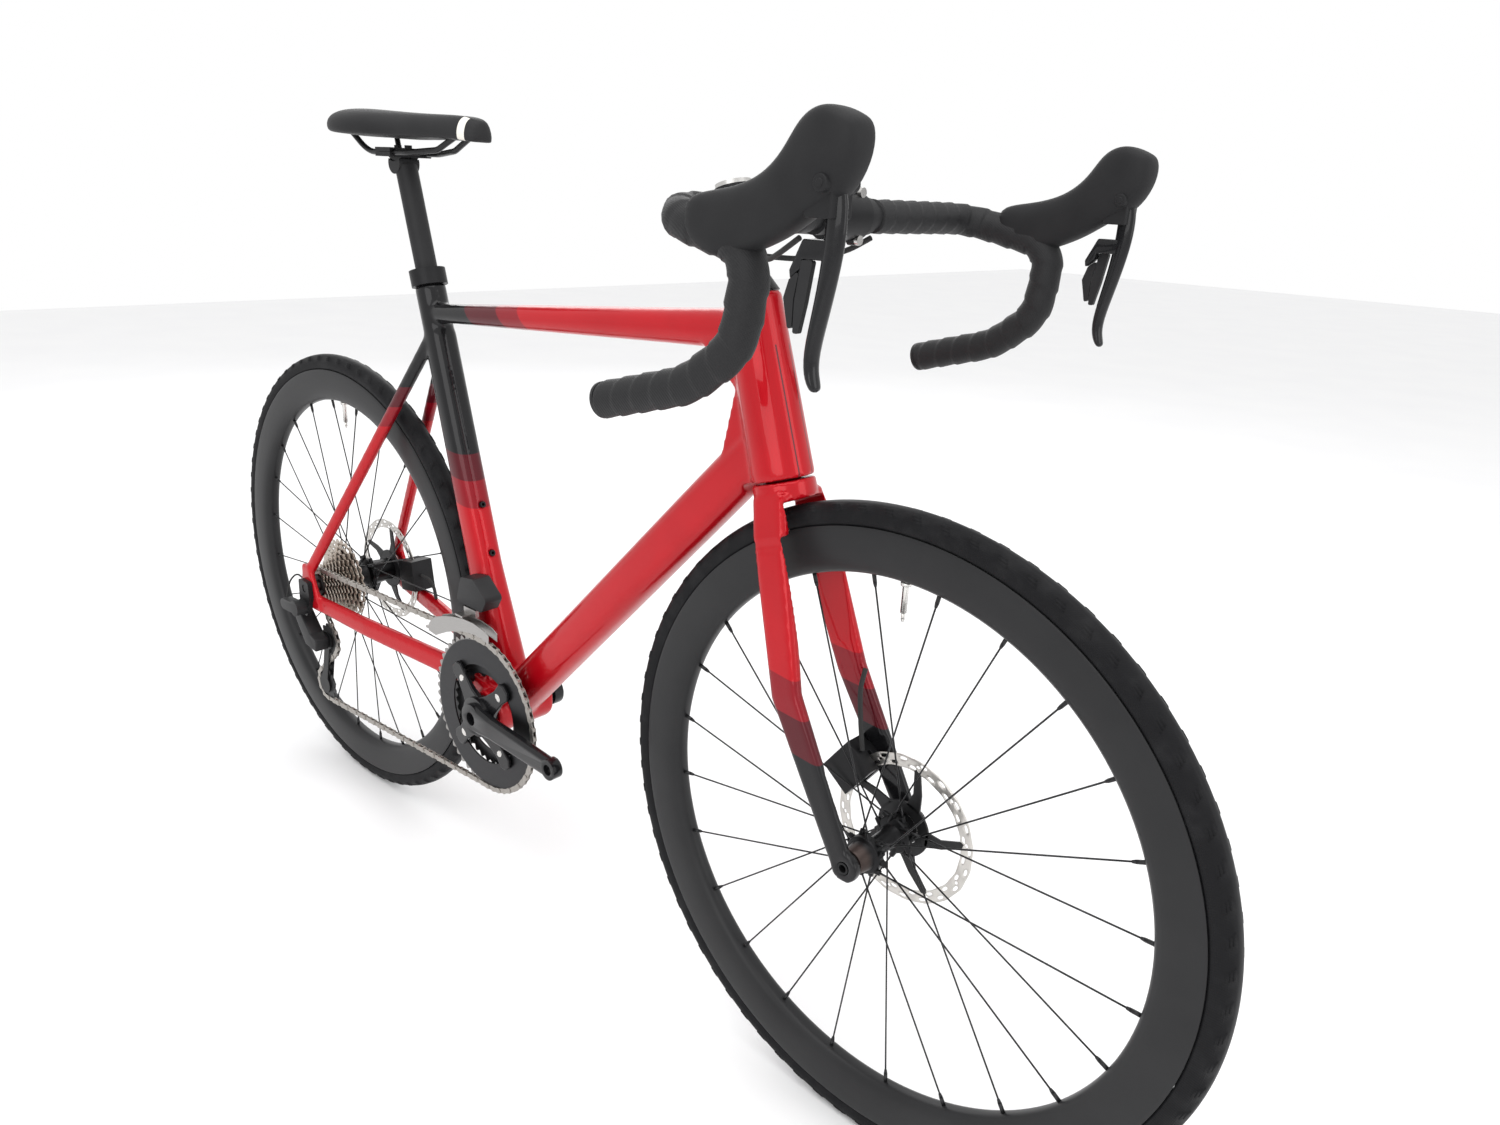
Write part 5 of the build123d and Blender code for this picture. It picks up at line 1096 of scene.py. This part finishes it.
surface("black_rail", (300.0, 3.0), (0.010, 0.010, 0.011), (0.030, 0.030, 0.031),
        (0.28, 0.12), (0.00003, 0.3), Metallic=0.7)
surface("hose_black", (1500.0, 2.0), (0.010, 0.010, 0.011), (0.018, 0.018, 0.019),
        (0.30, 0.10), (0.00004, 0.3))
surface("brake_pad", (1800.0, 4.0), (0.060, 0.045, 0.035), (0.140, 0.110, 0.085),
        (0.80, 0.1), (0.0002, 0.7))

FINISHES = {
    "anodised_black": ["bottom_bracket_cups", "derailleur_hanger", "rear_thru_axle", "front_thru_axle",
                       "headset_spacers", "stem_faceplate", "seat_clamp", "saddle_clamp", "bottle_bosses",
                       "frame_bearings", "rear_derailleur_cage"],
    "matte_carbon": ["seatpost", "handlebar"],
    "moulded_plastic": ["bar_plugs", "shift_paddle_left_front",
                        "shift_paddle_left_rear", "shift_paddle_right_front", "shift_paddle_right_rear"],
    "zinc_bolt": ["cockpit_bolts"],
    "black_rail": ["saddle_rails"],
    "hose_black": ["front_hoses", "rear_hoses"],
    "brake_pad": ["front_pad_left", "front_pad_right", "rear_pad_left", "rear_pad_right"],
}
for block_name, names in FINISHES.items():
    for name in names:
        for spot in nodes[name].material_slots:
            spot.material = bpy.data.materials[block_name]


# ---- brake levers ----
# Each blade is forged and painted gloss black; it hooks out at its tip and hangs from a pin in the hood.
LEVER_SECTIONS = [  # x and z of the middle, half depth, half width
    (0.1580, 0.0290, 0.0040, 0.0046), (0.1610, 0.0200, 0.0075, 0.0052), (0.1620, 0.0060, 0.0085, 0.0056),
    (0.1615, -0.0160, 0.0078, 0.0060), (0.1555, -0.0500, 0.0062, 0.0064), (0.1475, -0.0840, 0.0052, 0.0066),
    (0.1500, -0.0990, 0.0046, 0.0064), (0.1550, -0.1070, 0.0030, 0.0056)]
PADDLE_ARM = [(0.1390, -0.0100), (0.1600, -0.0100), (0.1580, -0.0227), (0.1393, -0.0227), (0.1384, -0.0286),
              (0.1300, -0.0357), (0.1290, -0.0300)]
ARM_HALF = 0.0052
for side, word in ((-1, "right"), (1, "left")):
    shape = bmesh.new()
    rings = []
    for number, (x, z, deep, wide) in enumerate(LEVER_SECTIONS):
        before = LEVER_SECTIONS[max(number - 1, 0)]
        after = LEVER_SECTIONS[min(number + 1, len(LEVER_SECTIONS) - 1)]
        run = Vector((after[0] - before[0], 0, after[1] - before[1])).normalized()
        ahead = Vector((-run.z, 0, run.x))
        middle = BAR_CENTRE + Vector((x, side * HOOD_Y, z))
        ring = []
        for step in range(12):
            angle = tau * step / 12
            ring.append(shape.verts.new(middle + ahead * (deep * cos(angle)) + Vector((0, wide * sin(angle), 0))))
        rings.append(ring)
    loft(shape, rings)
    blade = new_piece("lever_blade_" + word, close_mesh(shape, "lever_blade"), gloss_lever)
    subdivide(blade, 2)
    settle(blade, "brake_lever_" + word, "brake_lever_" + word)
    shape = bmesh.new()
    arm = [shape.verts.new(BAR_CENTRE + Vector((x, side * HOOD_Y - ARM_HALF, z))) for x, z in PADDLE_ARM]
    made = bmesh.ops.extrude_face_region(shape, geom=[shape.faces.new(arm)])["geom"]
    bmesh.ops.translate(shape, vec=(0, 2 * ARM_HALF, 0), verts=verts_of(made))
    carrier = new_piece("paddle_carrier_" + word, close_mesh(shape, "paddle_carrier"), gloss_lever)
    soften(carrier, 0.0012, 3)
    settle(carrier, "brake_lever_" + word)


# ---- calipers, derailleurs, stem and cranks ----
# Forged and cast parts whose edges are well rounded; the derailleurs' motor cases are moulded.
# The right crank's four wide arms taper from its hub to the chainring bolts.
def eased(name, node, block, width, body):
    """A copy of a CAD node with its edges rounded."""
    shape = bmesh.new()
    shape.from_mesh(nodes[node].data)
    bmesh.ops.remove_doubles(shape, verts=shape.verts, dist=1e-6)
    bmesh.ops.dissolve_limit(shape, angle_limit=radians(1), verts=shape.verts, edges=shape.edges)
    for face in shape.faces:
        face.smooth = True
        face.material_index = 0
    piece = new_piece(name, as_mesh(shape, name), block)
    soften(piece, width, 3, even=True).angle_limit = radians(25)
    settle(piece, body, node)


eased("front_caliper_body", "front_caliper", anodised, 0.0030, "steering")
eased("rear_caliper_body", "rear_caliper", anodised, 0.0030, "frame")
eased("front_shifter_case", "front_derailleur", moulded_plastic, 0.0025, "frame")
eased("rear_shifter_motor", "rear_derailleur_motor", moulded_plastic, 0.0025, "rear_derailleur")
eased("rear_shifter_knuckle", "rear_derailleur_knuckle", moulded_plastic, 0.0015, "frame")
eased("stem_body", "stem", anodised, 0.0020, "steering")
eased("right_crank", "crank_right", gloss_lever, 0.0022, "crankset")
eased("left_crank", "crank_left", gloss_lever, 0.0022, "crankset")

shape = bmesh.new()
for angle in BOLT_ANGLES:
    turn_by = Matrix.Rotation(angle, 3, "Z")
    outline = [(0.016, -0.020), (0.034, -0.0135), (0.056, -0.0105), (0.072, -0.0125), (0.079, -0.0060),
               (0.079, 0.0060), (0.072, 0.0125), (0.056, 0.0105), (0.034, 0.0135), (0.016, 0.020)]
    low = [shape.verts.new(turn_by @ Vector((x, y, 0))) for x, y in outline]
    face = shape.faces.new(low)
    made = bmesh.ops.extrude_face_region(shape, geom=[face])["geom"]
    high = verts_of(made)
    bmesh.ops.translate(shape, vec=(0, 0, 0.0055), verts=high)
    for vert in high:
        vert.co.z += max(0.0, 0.055 - vert.co.xy.length) * 0.10
upright(shape, CRANK_AXLE[0], -0.0482, CRANK_AXLE[1])
arms = new_piece("crank_spider_arms", close_mesh(shape, "crank_spider_arms"), gloss_lever)
soften(arms, 0.0018, 3, even=True)
settle(arms, "crankset")

# ---- front derailleur cage ----
# Two bright pressed plates that follow the big ring's curve, joined by a bridge behind the chain,
# hang from the motor's link.
cage_steel = surface("cage_steel", (350.0, 3.0, (1, 1, 6)), (0.30, 0.29, 0.28), (0.44, 0.43, 0.42),
                     (0.30, 0.14), (0.00004, 0.4), Metallic=1.0)
INNER_ARC = [(0.1135, 76), (0.1135, 84), (0.1135, 92), (0.1135, 100), (0.1140, 108), (0.1150, 116), (0.1180, 124),
             (0.1260, 138)]
SHEET_THICKNESS = 0.0012
OUTER_ARC = [(0.1400, 142), (0.1460, 138), (0.1450, 130), (0.1390, 122), (0.1340, 112), (0.1310, 102),
             (0.1290, 92), (0.1270, 82), (0.1240, 77)]
shape = bmesh.new()
for low_y in (-0.0556, -0.0429):
    ring = [round_crank(radius, radians(turn), low_y) for radius, turn in INNER_ARC + OUTER_ARC]
    face = shape.faces.new([shape.verts.new(point) for point in ring])
    made = bmesh.ops.extrude_face_region(shape, geom=[face])["geom"]
    bmesh.ops.translate(shape, vec=(0, SHEET_THICKNESS, 0), verts=verts_of(made))
for x, z, long, tall, low_y, high_y in ((-0.0376, 0.1290, 0.016, 0.0030, -0.0550, -0.0425),
                                        (-0.1130, 0.0895, 0.010, 0.0030, -0.0550, -0.0425),
                                        (-0.0310, 0.1330, 0.026, 0.0100, -0.0428, -0.0370)):
    block = bmesh.ops.create_cube(shape, size=1.0)["verts"]
    bmesh.ops.scale(shape, vec=(long, high_y - low_y, tall), verts=block)
    bmesh.ops.translate(shape, vec=(CRANK_AXLE[0] + x, (low_y + high_y) / 2, CRANK_AXLE[1] + z), verts=block)
cage = new_piece("front_shifter_cage", close_mesh(shape, "front_shifter_cage"), cage_steel)
soften(cage, 0.0004, even=True)
settle(cage, "front_derailleur_cage", "front_derailleur_cage")

# ---- the scene brought up to date ----
bpy.context.view_layer.update()
